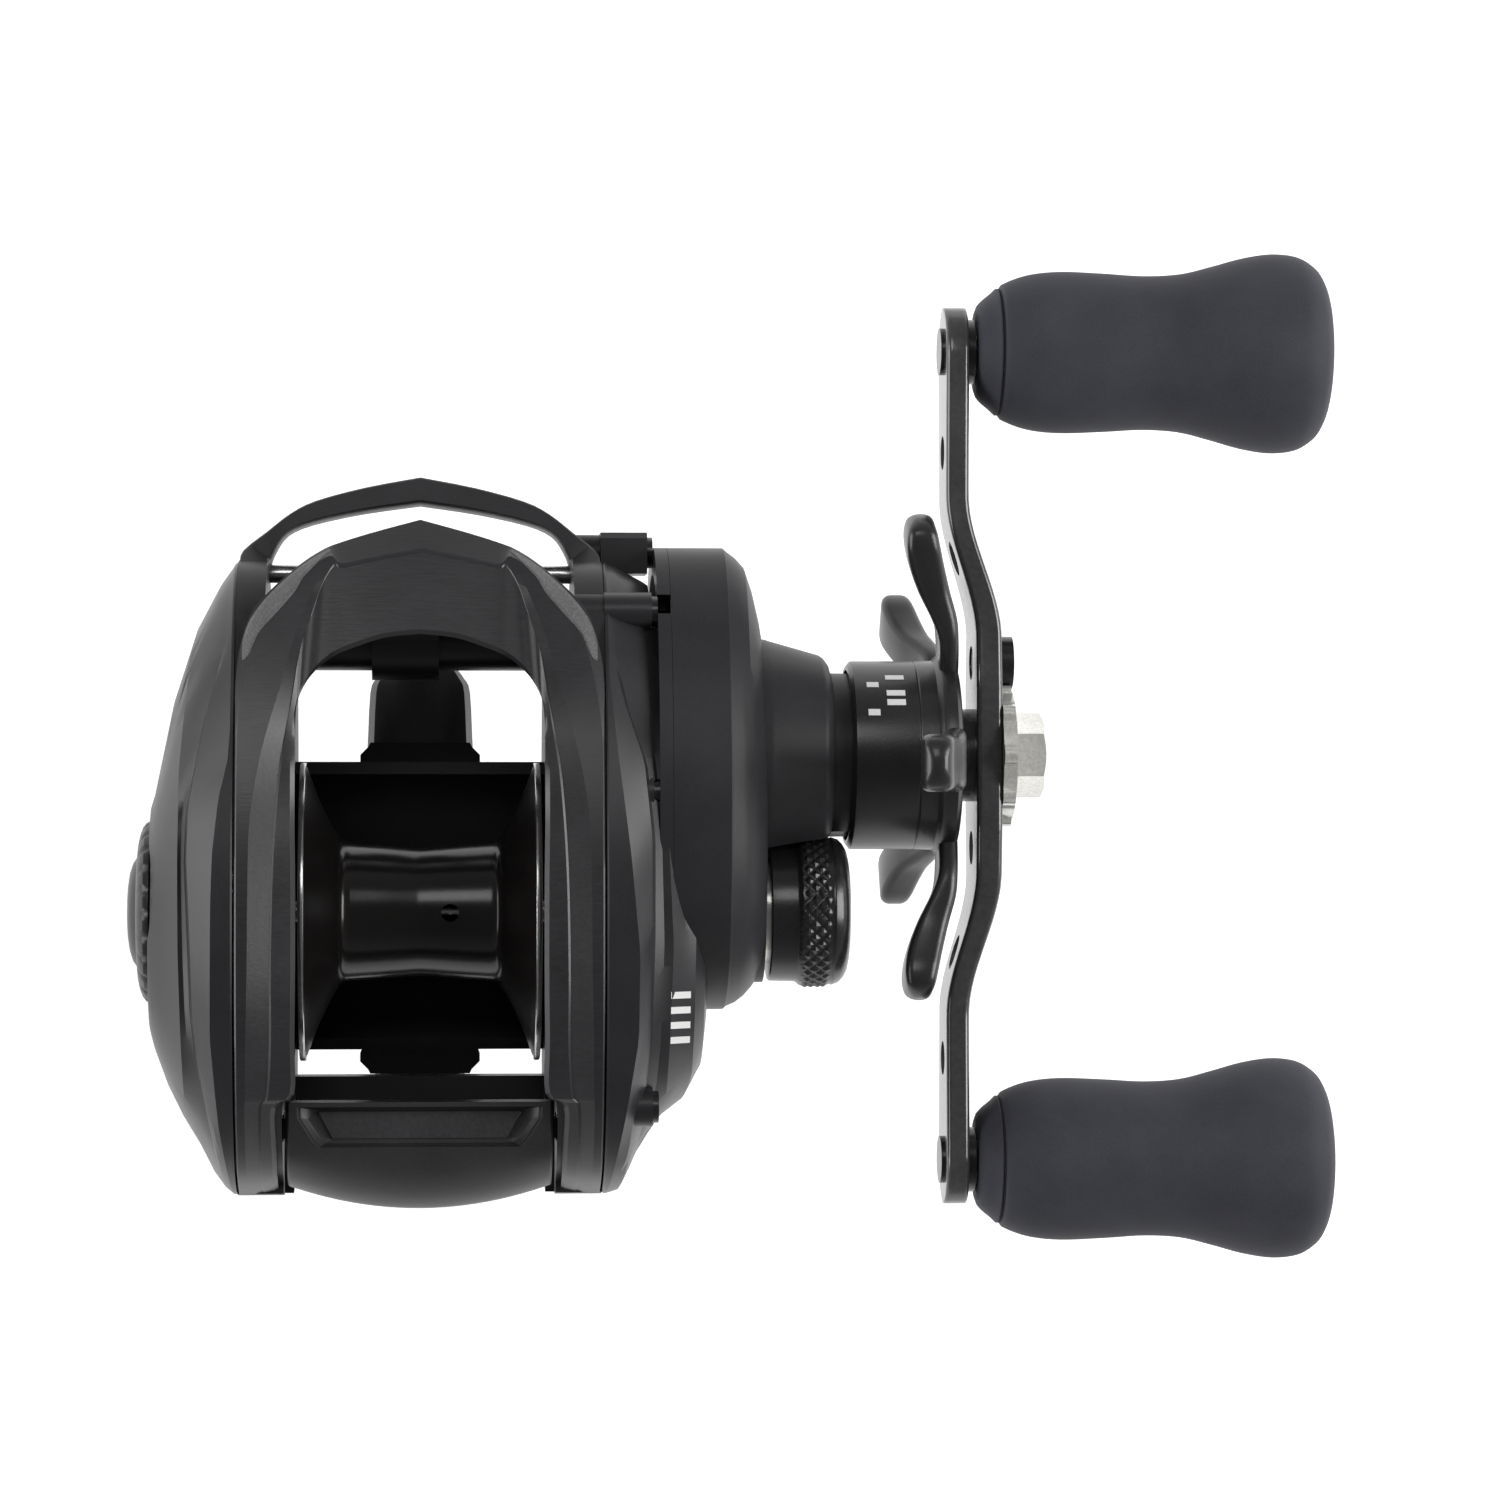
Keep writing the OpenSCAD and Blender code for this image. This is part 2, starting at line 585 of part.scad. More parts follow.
bar_plan = mirrored([[0, -24.6], [17.3, -24.6], [17.3, -35.3], [12.5, -37.2], [7, -38.6], [0, -39]]);
module thumb_bar() {
    color(satin_black) {
        difference() {
            intersection() {
                along_x(-18, 18) polygon([[-24.4, 36.6], [-24.4, 42], [-31, 40.4], [-35, 36.9],
                    [-39.2, 31.4], [-38.2, 30.2], [-34, 33.6], [-30, 35.8]]);
                plan(bar_plan, 20, 50);
            }
            plan(mirrored([[0, -25.4], [15.7, -25.4], [15.7, -29.6], [14.2, -31.2], [0, -31.2]]), 38.9, 50);
        }
        both_sides() translate([17.2, -29.8, 34.2]) cube([4.3, 2.6, 3]);
    }
}
module clutch_plate() {
    color(steel) along_x(21.5, 22.6) polygon([[-30.2, 31], [-29.2, 36.9], [-24, 38.6], [-12, 38],
        [-8, 33], [-8, 20],
        [-11, 15], [-14, 20], [-15, 30], [-22, 33]]);
}

// ---------- gear side ----------

side_sections = [[24.3, -37.8, 47.2, 2.5, 50.5], [27.2, -37, 46.2, 3, 49.9], [29.8, -28.6, 44.6, 5.6, 47.2],
    [34.5, -25.8, 41, 7.6, 45], [36.8, -23.7, 37, 9, 43.5], [37.5, -20.4, 32, 11, 41.5]];
side_walls = [2, 2.2, 2.6, 3.4, 4.4];
case_x = 33.2;
case_sections = [[case_x, -13.2, 49.2, 1.6, 46.4], [41.2, -13.2, 49.2, 1.6, 46.4],
    [44, -10.6, 45.7, 4.2, 43.8],
    [46, -8.6, 38, 7.4, 40.8]];
case_walls = [2, 2, 3.2];
head_x = 30.6;                                 // seat of the screw heads
function flat(s, t = 0) = [for (p = section(s, t)) [p[1], p[2]]];
module gear_side_cover() {
    color(black_paint) difference() {
        union() {
            cup(side_sections, side_walls);
            // ledge that carries the gear case
            difference() {
                along_x(case_x - 1.8, case_x) polygon(flat(case_sections[0]));
                along_x(case_x - 2, case_x + 1) polygon(fit_loop([-24.8, 40.6], [9.1, 43.7]));
            }
            for (p = screw_places) translate([seam_x, p[0], p[1]]) rod_x(0, head_x - seam_x, 2.6);
            translate([seam_x, 45.6, 19.6]) cube([head_x - seam_x, 5.6, 7]);
        }
        along_x(case_x - 0.05, 60) polygon(flat(case_sections[0], -0.1));
        along_x(case_x - 0.5, 40) polygon(flat(case_sections[0], 2));
        for (p = screw_places) translate([20, p[0], p[1]]) {
            rod_x(0, 20, 1.05);
            rod_x(head_x - 20, 20, 2.3);
        }
    }
}
neck_x = 55.3;
module gear_case() {
    color(black_paint) difference() {
        union() {
            cup(case_sections, case_walls);
            at_drive() {
                rod_x(43.9, 46.1, 16);
                rod_x(46, neck_x - 1, 15.7, 13.4);
                rod_x(neck_x - 1.01, neck_x, 13.4, 12.4);
                rod_x(neck_x - 0.01, 60, 11.1);
            }
            at_spool() rod_x(42.2, 46.05, 9.6);
        }
        at_drive() {
            rod_x(43, 46.5, 8);
            rod_x(46.4, 54.6, 9.5);
            rod_x(54.5, 62, 7);
        }
        at_spool() {
            rod_x(40, 45.01, 6.4);
            rod_x(44.9, 50, 7);
            rod_x(46.06, 60, 10.8);
        }
    }
}
module case_screws() {
    color(dark_metal) for (p = screw_places) translate([0, p[0], p[1]]) difference() {
        union() {
            rod_x(20.8, head_x + 0.1, 1);
            rod_x(head_x, head_x + 0.8, 2.1);
        }
        translate([head_x + 0.4, -3, -0.35]) cube([2, 6, 0.7]);
    }
}
module one_way_clutch() {
    color(steel) at_drive() {
        tube_x(46.5, 54.4, 9.5, 8.3);
        for (k = [0 : 9]) rotate([k * 36, 0, 0]) translate([0, 0, 7.3]) rod_x(47.2, 53.8, 0.95);
    }
}
module clutch_sleeve() { color(steel) at_drive() tube_x(40.2, 57.4, 6, shaft_r + 0.03); }
module drive_bearing() { color(steel) at_drive() bearing_x(17.9, 21.9, 5, 2.5 + run); }

// ---------- spool tension cap ----------

module tension_boss() { color(steel) at_spool() tube_x(45.02, 52.4, 6.98, 5.02); }
module tension_cap() {
    color(dark_metal) at_spool() difference() {
        turned([[0, 57.6], [7.9, 57.6], [9.4, 56.6], [10.1, 55.4], [10.1, 54.9], [10.3, 54.7],
            [10.3, 51.1], [9.5, 50.6], [9.4, 46.8], [7.01, 46.8],
            [7.01, 53.2], [0, 53.2]]);
        for (k = [0 : 5]) rotate([k * 60, 0, 0]) translate([0, 0, 10.9]) rod_x(50.9, 55.3, 0.9);
    }
}
module tension_shims() {
    color(gold) at_spool() {
        rod_x(52.65, 52.9, 4.4);
        rod_x(52.95, 53.2, 4.4);
    }
}

// ---------- star drag ----------

star_turn = -2.4;
star_edge = [[-2.6, 10.5], [-4.3, 16], [-3.6, 20], [-3.1, 24], [-3.5, 29], [-3.4, 31.6], [-2.2, 33.4]];
module star_arm() {
    outline = concat([for (p = star_edge) p], [[0, star_r]],
        [for (i = [len(star_edge) - 1 : -1 : 0]) [-star_edge[i][0], star_edge[i][1]]]);
    // edge view, [distance from the shaft, x]: the arm steps towards the reel at its tip
    edge = [[9, 69.8], [17.5, 69.6], [20.5, 68.4], [26, 65.6], [30, 64.8], [33, 65.2], [34.2, 66.4],
        [34, 68.2], [31, 69.4],
        [25, 71.3], [19, 72.3], [9, 72.5]];
    intersection() {
        along_x(60, 80) polygon(outline);
        translate([0, -6, 0]) rotate([-90, 0, 0]) linear_extrude(12) polygon([for (p = edge) [p[1], -p[0]]]);
    }
}
module drag_star() {
    color(satin_black) at_drive() {
        difference() {
            union() {
                turned([[0, 57.7], [12.4, 57.7], [12.8, 58.1], [12.8, 69.3], [13.6, 69.8], [13.6, 72],
                    [12.8, 72.5], [0, 72.5]]);
                for (k = [0 : 4]) rotate([star_turn + k * 72, 0, 0]) star_arm();
            }
            rod_x(50, 65.2, 11.5);
            along_x(60, 80) circle(r = 5.2, $fn = 6);
        }
    }
}
module star_nut() {
    color(gold) at_drive() difference() {
        union() {
            along_x(63, 72.4) circle(r = 5.15, $fn = 6);
            rod_x(72.3, 73.1, 4.2);
        }
        rod_x(60, 80, shaft_r + 0.05);
    }
}
module star_springs() {
    color(steel) at_drive() for (x = [57.6, 59.2, 60.8]) tube_x(x, x + 1.2, 6.4, shaft_r + 0.05);
}

// ---------- handle ----------

arm_x = 74.9;
arm_t = 3.5;
crank_in = 3.9;
function crank_shift(y) = let (t = min(1, max(0, (abs(y) - 16) / 19))) crank_in * t * t * (3 - 2 * t);
arm_stations = [for (y = [-knob_y - 7 : 1.5 : knob_y + 7.01]) y];
arm_y_holes = [12.6, 26.8, 41.2];
module handle_washer() { color(dark_metal) at_drive() tube_x(73.3, arm_x - 0.02, 6.3, shaft_r + 0.05); }
module handle_arm() {
    edge = concat([for (y = arm_stations) [arm_x + arm_t - crank_shift(y) * 1.1, y]],
        [for (i = [len(arm_stations) - 1 : -1 : 0]) [arm_x - crank_shift(arm_stations[i]), arm_stations[i]]]);
    side = concat([for (a = [-80 : 20 : 80]) [knob_y + 6 * cos(a), 6 * sin(a)]],
        [[36, 5.1], [20, 6.2], [9, arm_half], [-9, arm_half], [-20, 6.2], [-36, 5.1]],
        [for (a = [100 : 20 : 260]) [-knob_y + 6 * cos(a), 6 * sin(a)]],
        [[-36, -5.1], [-20, -6.2], [-9, -arm_half], [9, -arm_half], [20, -6.2], [36, -5.1]]);
    color(dark_metal) at_drive() difference() {
        intersection() {
            translate([0, 0, -15]) linear_extrude(30) polygon(edge);
            along_x(60, 90) polygon(side);
        }
        rod_x(60, 90, shaft_r + 0.03);
        for (y = arm_y_holes, s = [-1, 1]) translate([0, s * y, 0]) rod_x(60, 90, 2.3);
        for (s = [-1, 1]) translate([0, s * knob_y, 0]) rod_x(60, 90, 2);
    }
}
module handle_nut() {
    color(steel) at_drive() difference() {
        intersection() {
            along_x(80.25, 84.6) circle(r = 5.77, $fn = 6);
            turned([[0, 80.2], [6.2, 80.2], [6.2, 84], [5, 84.6], [0, 84.6]]);
        }
        rod_x(80, 83.7, shaft_r);
    }
}
module nut_retainer() {
    lobes = 9;
    color(steel) at_drive() difference() {
        union() {
            rod_x(78.42, 80.25, 8.9);
            for (k = [0 : lobes - 1]) rotate([k * 360 / lobes, 0, 0]) translate([0, 0, 8.3])
                rod_x(78.42, 80.1, 1.5);
        }
        rod_x(78, 81, shaft_r + 0.05);
        translate([0, arm_y_holes[0], 0]) rod_x(78, 81, 3.9);
    }
}
module retainer_screw() {
    color(dark_metal) at_drive() translate([0, arm_y_holes[0], 0]) difference() {
        union() {
            rod_x(arm_x + 0.2, 79, 2.25);
            rod_x(78.42, 80.4, 3.6);
        }
        along_x(79.7, 81) circle(r = 1.2, $fn = 6);
    }
}

knob_x0 = 75.4;
knob_profile = [[2.6, 75.4], [6.4, 75.4], [7.4, 76.4], [9.2, 79], [10.5, 82.5], [11, 87], [10.8, 93],
    [10.5, 98.5],
    [10.8, 103.5], [11.9, 108], [13, 112], [knob_r, 116], [13.2, 119.8], [11.9, 122.2], [9.6, 123.4],
        [5, 123.8], [0, 123.9]];
module knob() {
    color(rubber) difference() {
        turned(concat([[0, knob_x0]], knob_profile));
        rod_x(70, 116, 3.5);
    }
}
module knob_bushings() {
    color(nylon) {
        tube_x(75.5, 79.5, 3.5, 2 + run);
        tube_x(108, 112, 3.5, 2 + run);
    }
}
module at_knob(s) { translate([0, drive_y + s * knob_y, drive_z]) children(); }
module knob_front() { at_knob(1) knob(); }
module knob_rear() { at_knob(-1) knob(); }
module knob_bushings_front() { at_knob(1) knob_bushings(); }
module knob_bushings_rear() { at_knob(-1) knob_bushings(); }
arm_end_in = arm_x - crank_in;                 // faces of the arm at its ends
arm_end_out = arm_x + arm_t - crank_in * 1.1;
module knob_posts() {
    color(steel) for (s = [-1, 1]) at_knob(s) {
        rod_x(arm_end_in - 0.5, arm_end_in, 3.2);
        rod_x(arm_end_in - 0.1, 113, 2);
        rod_x(arm_end_out, knob_x0 - 0.25, 4.4);
        rod_x(112.4, 113.4, 3);
    }
}

frame();
reel_foot();
foot_screws();
top_cover();
cover_inlays();
palm_side_cover();
brake_race();
brake_dial();
spool();
spool_shaft();
brake_hub();
brake_blocks();
spool_bearing_left();
spool_bearing_right();
drive_pin();
pinion_gear();
clutch_yoke();
yoke_springs();
yoke_posts();
gear_plate();
main_gear();
drive_shaft();
drag_washers();
drag_plates();
ratchet();
anti_reverse_dog();
level_wind_drive_gear();
worm_gear();
worm_shaft();
worm_tube();
worm_bushings();
guide_rod();
line_guide();
guide_ring();
guide_pawl();
pawl_cap();
thumb_bar();
clutch_plate();
gear_side_cover();
gear_case();
case_screws();
one_way_clutch();
clutch_sleeve();
drive_bearing();
tension_boss();
tension_cap();
tension_shims();
drag_star();
star_nut();
star_springs();
handle_washer();
handle_arm();
handle_nut();
nut_retainer();
retainer_screw();
knob_posts();
knob_front();
knob_rear();
knob_bushings_front();
knob_bushings_rear();
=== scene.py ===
import json
import math

import bmesh
import bpy
import numpy as np
from mathutils import Matrix, Vector


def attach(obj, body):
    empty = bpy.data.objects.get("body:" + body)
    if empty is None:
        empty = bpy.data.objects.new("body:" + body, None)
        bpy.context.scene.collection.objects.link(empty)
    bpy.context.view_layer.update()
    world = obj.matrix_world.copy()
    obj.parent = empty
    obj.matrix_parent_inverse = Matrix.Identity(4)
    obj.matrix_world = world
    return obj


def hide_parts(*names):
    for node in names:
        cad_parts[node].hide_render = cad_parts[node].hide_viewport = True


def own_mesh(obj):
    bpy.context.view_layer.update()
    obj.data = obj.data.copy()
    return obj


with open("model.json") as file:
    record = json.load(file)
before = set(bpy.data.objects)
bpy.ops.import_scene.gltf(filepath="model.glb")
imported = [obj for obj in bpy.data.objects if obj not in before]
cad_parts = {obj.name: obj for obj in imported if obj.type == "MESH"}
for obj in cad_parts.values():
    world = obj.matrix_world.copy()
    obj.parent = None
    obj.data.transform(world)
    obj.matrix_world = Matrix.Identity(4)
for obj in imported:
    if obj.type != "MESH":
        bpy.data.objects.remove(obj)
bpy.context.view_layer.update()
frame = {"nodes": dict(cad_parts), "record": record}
nodes = frame["nodes"]

# Shapes are written in millimetres, in the part's own frame, and scaled once when a mesh is made. The camera,
# lights and floor are in metres.
MM = 0.001
SPOOL = (0.0, 27.0)      # y and z of the spool axis
DRIVE = (21.1, 24.0)     # y and z of the drive shaft
WORM = (36.4, 24.0)      # y and z of the worm shaft
KNOB_Y = 55.0            # distance of each knob axis from the drive shaft
BEARING_SEAT = 5.03      # radius of a bearing's seat


# ---------- materials ----------

DRIFT = 9.0              # size of the slow drift in colour and roughness, in mm


def add_node(tree, kind, values, links=(), operation=None):
    """Node of a kind, with its socket values set and (output, socket) pairs linked into it."""
    node = tree.nodes.new("ShaderNode" + kind)
    if operation:
        node.operation = operation
    for socket, value in values.items():
        node.inputs[socket].default_value = value
    for output, socket in links:
        tree.links.new(output, node.inputs[socket])
    return node


def look(name, colour, rough, metal=0.0, grain=0.35, bump=0.12, stretch=(1, 1, 1), tint=0.25, specular=0.5,
         cells=False):
    """A procedural finish. grain is the size of the surface texture in mm, bump its height, and stretch draws
    it out along an axis as brushing does. tint is how much the colour drifts, and cells makes it pitted."""
    material = bpy.data.materials.new(name)
    material.use_nodes = True
    tree = material.node_tree
    shader = tree.nodes["Principled BSDF"]
    shader.inputs["Metallic"].default_value = metal
    shader.inputs["Specular IOR Level"].default_value = specular
    place = add_node(tree, "TexCoord", {}).outputs["Object"]
    mapping = add_node(tree, "Mapping", {"Scale": stretch}, [(place, "Vector")])
    drawn = [(mapping.outputs["Vector"], "Vector")]
    scale = 1.0 / (grain * MM)
    if cells:
        fine = add_node(tree, "TexVoronoi", {"Scale": scale}, drawn).outputs["Distance"]
    else:
        fine = add_node(tree, "TexNoise", {"Scale": scale, "Detail": 3.0}, drawn).outputs["Fac"]
    drift = add_node(tree, "TexNoise", {"Scale": 1.0 / (DRIFT * MM), "Detail": 4.0}, [(place, "Vector")])
    half = add_node(tree, "Math", {1: 0.5}, [(drift.outputs["Fac"], 0)], "MULTIPLY")
    both = add_node(tree, "Math", {1: 0.5}, [(fine, 0), (half.outputs[0], 2)], "MULTIPLY_ADD").outputs[0]
    ramp = add_node(tree, "ValToRGB", {}, [(both, "Fac")])
    for stop, place_on, shade in zip(ramp.color_ramp.elements, (0.3, 0.7), (1 - tint, 1 + tint)):
        stop.position = place_on
        stop.color = [min(1, c * shade) for c in colour] + [1]
    tree.links.new(ramp.outputs["Color"], shader.inputs["Base Color"])
    span = add_node(tree, "MapRange", {"From Min": 0.3, "From Max": 0.7, "To Min": rough * 0.88,
                                       "To Max": rough * 1.12}, [(both, "Value")])
    tree.links.new(span.outputs["Result"], shader.inputs["Roughness"])
    if bump:
        relief = add_node(tree, "Bump", {"Strength": bump, "Distance": grain * MM * 0.5}, [(fine, "Height")])
        tree.links.new(relief.outputs["Normal"], shader.inputs["Normal"])
    return material


LOOKS = {
    "body": look("satin_black_grain", (0.0165, 0.0163, 0.0185), 0.36, grain=0.2, bump=0.09, specular=0.39),
    "frame": look("satin_black_casting", (0.024, 0.0237, 0.0258), 0.42, grain=0.25, bump=0.1, specular=0.22),
    "case": look("satin_black_case", (0.025, 0.0246, 0.027), 0.42, grain=0.2, bump=0.08, specular=0.2),
    "hood": look("satin_black_brushed", (0.017, 0.0168, 0.019), 0.35, grain=0.28, bump=0.1,
                 stretch=(0.1, 1, 1)),
    "inlay": look("coarse_dark_grey", (0.1, 0.0995, 0.103), 0.55, grain=0.3, bump=0.5, cells=True),
    "foot": look("satin_black_paint", (0.028, 0.0278, 0.03), 0.34, grain=0.3, bump=0.1),
    "spool": look("gloss_black_anodised", (0.008, 0.007, 0.0065), 0.2, grain=0.5, bump=0.02, specular=0.4),
    "flange": look("dull_black_anodised", (0.006, 0.0052, 0.005), 0.34, grain=0.5, bump=0.02, specular=0.06),
    "rim": look("bare_turned_rim", (0.5, 0.5, 0.49), 0.22, metal=1.0, grain=0.3, bump=0.05),
    "black_metal": look("gloss_black_paint", (0.012, 0.012, 0.013), 0.24, grain=0.4, bump=0.04),
    "handle": look("polished_black", (0.06, 0.059, 0.062), 0.17, metal=0.3, grain=0.8, bump=0.03,
                   specular=0.7),
    "steel": look("ground_steel", (0.55, 0.55, 0.56), 0.26, metal=1.0, grain=0.25, bump=0.12,
                  stretch=(0.1, 1, 1)),
    "bright": look("bright_nickel", (0.76, 0.75, 0.71), 0.2, metal=0.6, grain=0.4, bump=0.04),
    "brass": look("machined_brass", (0.78, 0.56, 0.24), 0.28, metal=0.5, grain=0.3, bump=0.1),
    "carbon": look("woven_carbon", (0.03, 0.03, 0.032), 0.4, grain=0.8, bump=0.4, cells=True),
    "nylon": look("natural_nylon", (0.72, 0.69, 0.6), 0.45, grain=0.4, bump=0.06),
    "brake": look("red_plastic", (0.5, 0.06, 0.035), 0.35, grain=0.4, bump=0.05),
    "ceramic": look("polished_ceramic", (0.6, 0.61, 0.63), 0.1, grain=0.5, bump=0.01),
    "star": look("satin_black_star", (0.016, 0.016, 0.017), 0.3, grain=0.25, bump=0.1),
    "knob": look("soft_touch_charcoal", (0.046, 0.047, 0.057), 0.6, grain=0.18, bump=0.12, specular=0.12),
    "bar": look("satin_black_bar", (0.025, 0.0248, 0.0265), 0.38, grain=0.25, bump=0.1, specular=0.3),
    "tray": look("gloss_black_tray", (0.035, 0.0345, 0.037), 0.24, grain=0.5, bump=0.02, specular=0.6),
    "mark": look("pale_print", (0.72, 0.72, 0.71), 0.5, grain=0.3, bump=0.04, tint=0.05),
}
slot_of = {s["node"]: s["material_slot"] for s in frame["record"]["subparts"]}
for name, node in nodes.items():
    node.data.materials.clear()
    node.data.materials.append(LOOKS[slot_of[name]])


# ---------- mesh tools ----------

def smooth(points, steps, closed=False):
    """Catmull-Rom curve through given points of any dimension."""
    p = np.array(points, float)
    n = len(p)
    curve = []
    for i in range(n if closed else n - 1):
        if closed:
            a, b, c, d = p[i - 1], p[i], p[(i + 1) % n], p[(i + 2) % n]
        else:
            a, b, c, d = p[max(i - 1, 0)], p[i], p[i + 1], p[min(i + 2, n - 1)]
        for s in range(steps):
            t = s / steps
            curve.append(0.5 * (2 * b + (c - a) * t + (2 * a - 5 * b + 4 * c - d) * t ** 2
                                + (3 * b - a - 3 * c + d) * t ** 3))
    if not closed:
        curve.append(p[-1])
    return np.array(curve)


def between(value, table):
    """Straight-line value from a table of (place, value) pairs in rising order of place."""
    return np.interp(value, [row[0] for row in table], [row[1] for row in table])


def circle(r, centre, count):
    """Circle of (y, z) points round a centre."""
    turns = [2 * math.pi * k / count for k in range(count)]
    return [(centre[0] + r * math.sin(a), centre[1] + r * math.cos(a)) for a in turns]


class Shape:
    """Closed skins collected for one mesh."""

    def __init__(self):
        self.points, self.faces = [], []

    def skin(self, rows, wrap=True, ends=True):
        """Skin over rows with equal numbers of points. wrap joins each row into a ring, ends closes the first
        and last row."""
        start, count = len(self.points), len(rows[0])
        for row in rows:
            self.points.extend(tuple(float(v) for v in point) for point in row)
        for r in range(len(rows) - 1):
            for c in range(count if wrap else count - 1):
                a, b = start + r * count + c, start + r * count + (c + 1) % count
                self.faces.append((a, b, b + count, a + count))
        if ends:
            self.faces.append(tuple(start + c for c in reversed(range(count))))
            self.faces.append(tuple(start + (len(rows) - 1) * count + c for c in range(count)))
        return self

    def turn(self, profile, centre, segments=96, wave=None):
        """Profile of (x, radius, ripple depth) turned round a line along X through centre. wave(angle) from 0
        to 1 says how much of the ripple depth is cut away."""
        rows = []
        for x, r, *ripple in profile:
            depth = ripple[0] if ripple else 0.0
            row = []
            for k in range(segments):
                a = 2 * math.pi * k / segments
                radius = r - (depth * wave(a) if wave and depth else 0.0)
                row.append((x, centre[0] + radius * math.sin(a), centre[1] + radius * math.cos(a)))
            rows.append(row)
        return self.skin(rows)

    def hoop(self, profile, centre, segments):
        """Closed profile of (x, radius) turned round a line along X, open in the middle."""
        rows = [[(x, y, z) for y, z in circle(r, centre, segments)] for x, r in profile]
        return self.skin(rows + [rows[0]], ends=False)

    def along_x(self, outline, x0, x1):
        """Outline of (y, z) drawn out along X."""
        return self.skin([[(x, y, z) for y, z in outline] for x in (x0, x1)])

    def plan(self, outline, z0, z1):
        """Outline of (x, y) drawn up along Z."""
        return self.skin([[(x, y, z) for x, y in outline] for z in (z0, z1)])

    def rod(self, x0, x1, r, centre, segments=48):
        """Round bar along X."""
        return self.along_x(circle(r, centre, segments), x0, x1)


def make(name, shape):
    """Object from a shape, with its faces turned outwards."""
    mesh = bpy.data.meshes.new(name)
    mesh.from_pydata([(x * MM, y * MM, z * MM) for x, y, z in shape.points], [], shape.faces)
    tidy = bmesh.new()
    tidy.from_mesh(mesh)
    bmesh.ops.remove_doubles(tidy, verts=tidy.verts, dist=1e-7)
    bmesh.ops.recalc_face_normals(tidy, faces=tidy.faces)
    tidy.to_mesh(mesh)
    tidy.free()
    obj = bpy.data.objects.new(name, mesh)
    bpy.context.scene.collection.objects.link(obj)
    return obj


def carve(obj, shape, operation="DIFFERENCE"):
    """Cuts a shape out of an object, or joins it on, and keeps the result as the object's mesh."""
    tool = make("tool", shape)
    cut = obj.modifiers.new("cut", "BOOLEAN")
    cut.operation = operation
    cut.solver = "EXACT"
    cut.object = tool
    bpy.context.view_layer.update()
    done = bpy.data.meshes.new_from_object(obj.evaluated_get(bpy.context.evaluated_depsgraph_get()))
    obj.modifiers.clear()
    obj.data = done
    bpy.data.objects.remove(tool)
    return obj


def face_up(obj):
    """Turns an open sheet's faces so that they look up."""
    if sum(p.normal.z * p.area for p in obj.data.polygons) < 0:
        obj.data.flip_normals()


def refinish(obj, finish, chosen):
    """Gives the faces for which chosen(face) is true a second finish."""
    obj.data.materials.append(LOOKS[finish])
    for face in obj.data.polygons:
        face.material_index = 1 if chosen(face) else 0


def finish_piece(obj, body, slot, finish=None, replaces=(), angle=32, bevel=0.0, segments=2, solid=0.0):
    """Gives a piece its finish, softened edges and CAD body. The finish is the slot's own look, or the look
    that finish names."""
    obj.data.materials.clear()
    obj.data.materials.append(LOOKS[finish or slot])
    if solid:
        wall = obj.modifiers.new("wall", "SOLIDIFY")
        wall.thickness = solid * MM
        wall.offset = -1.0
        wall.use_even_offset = True
    soften(obj, angle, bevel, segments)
    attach(obj, body)
    if replaces:
        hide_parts(*replaces)
    return obj


def soften(obj, angle, bevel=0.0, segments=2):
    """Smooth shading with true edges kept, and a small round on each edge."""
    obj.data.polygons.foreach_set("use_smooth", [True] * len(obj.data.polygons))
    obj.data.set_sharp_from_angle(angle=math.radians(angle))
    if bevel:
        edge = obj.modifiers.new("edge", "BEVEL")
        edge.width = bevel * MM
        edge.segments = segments
        edge.limit_method = "ANGLE"
        edge.angle_limit = math.radians(angle)
        edge.use_clamp_overlap = True
        edge.harden_normals = False
        even = obj.modifiers.new("even", "WEIGHTED_NORMAL")
        even.keep_sharp = True
        even.mode = "FACE_AREA"


# ---------- side covers ----------

# Side view of the body at the cover joints, as (y, z).
SIDE_POINTS = [(47.2, 25.5), (45.2, 34.5), (37.5, 41.6), (26, 46.6), (13, 49.6), (0, 50.5), (-13, 49.9),
               (-25, 46.8), (-33.6, 40.2), (-37.8, 29.5), (-36.4, 17.5), (-28, 8.2), (-13, 3.4), (5, 2.5),
               (23, 3.4), (36.5, 8.2), (44.8, 16.2)]
SIDE_Y, SIDE_Z = (-37.8, 47.2), (2.5, 50.5)
SIDE_LOOP = smooth(SIDE_POINTS, 7, closed=True)
# The same outline with its height and length both brought to 1.
SIDE_UNIT = (SIDE_LOOP - [SIDE_Y[0], SIDE_Z[0]]) / [SIDE_Y[1] - SIDE_Y[0], SIDE_Z[1] - SIDE_Z[0]]
SEAM_X = 24.3
COVER_CENTRE = (3.0, 27.0)
LIP = 0.25               # how far the covers round over at the joint

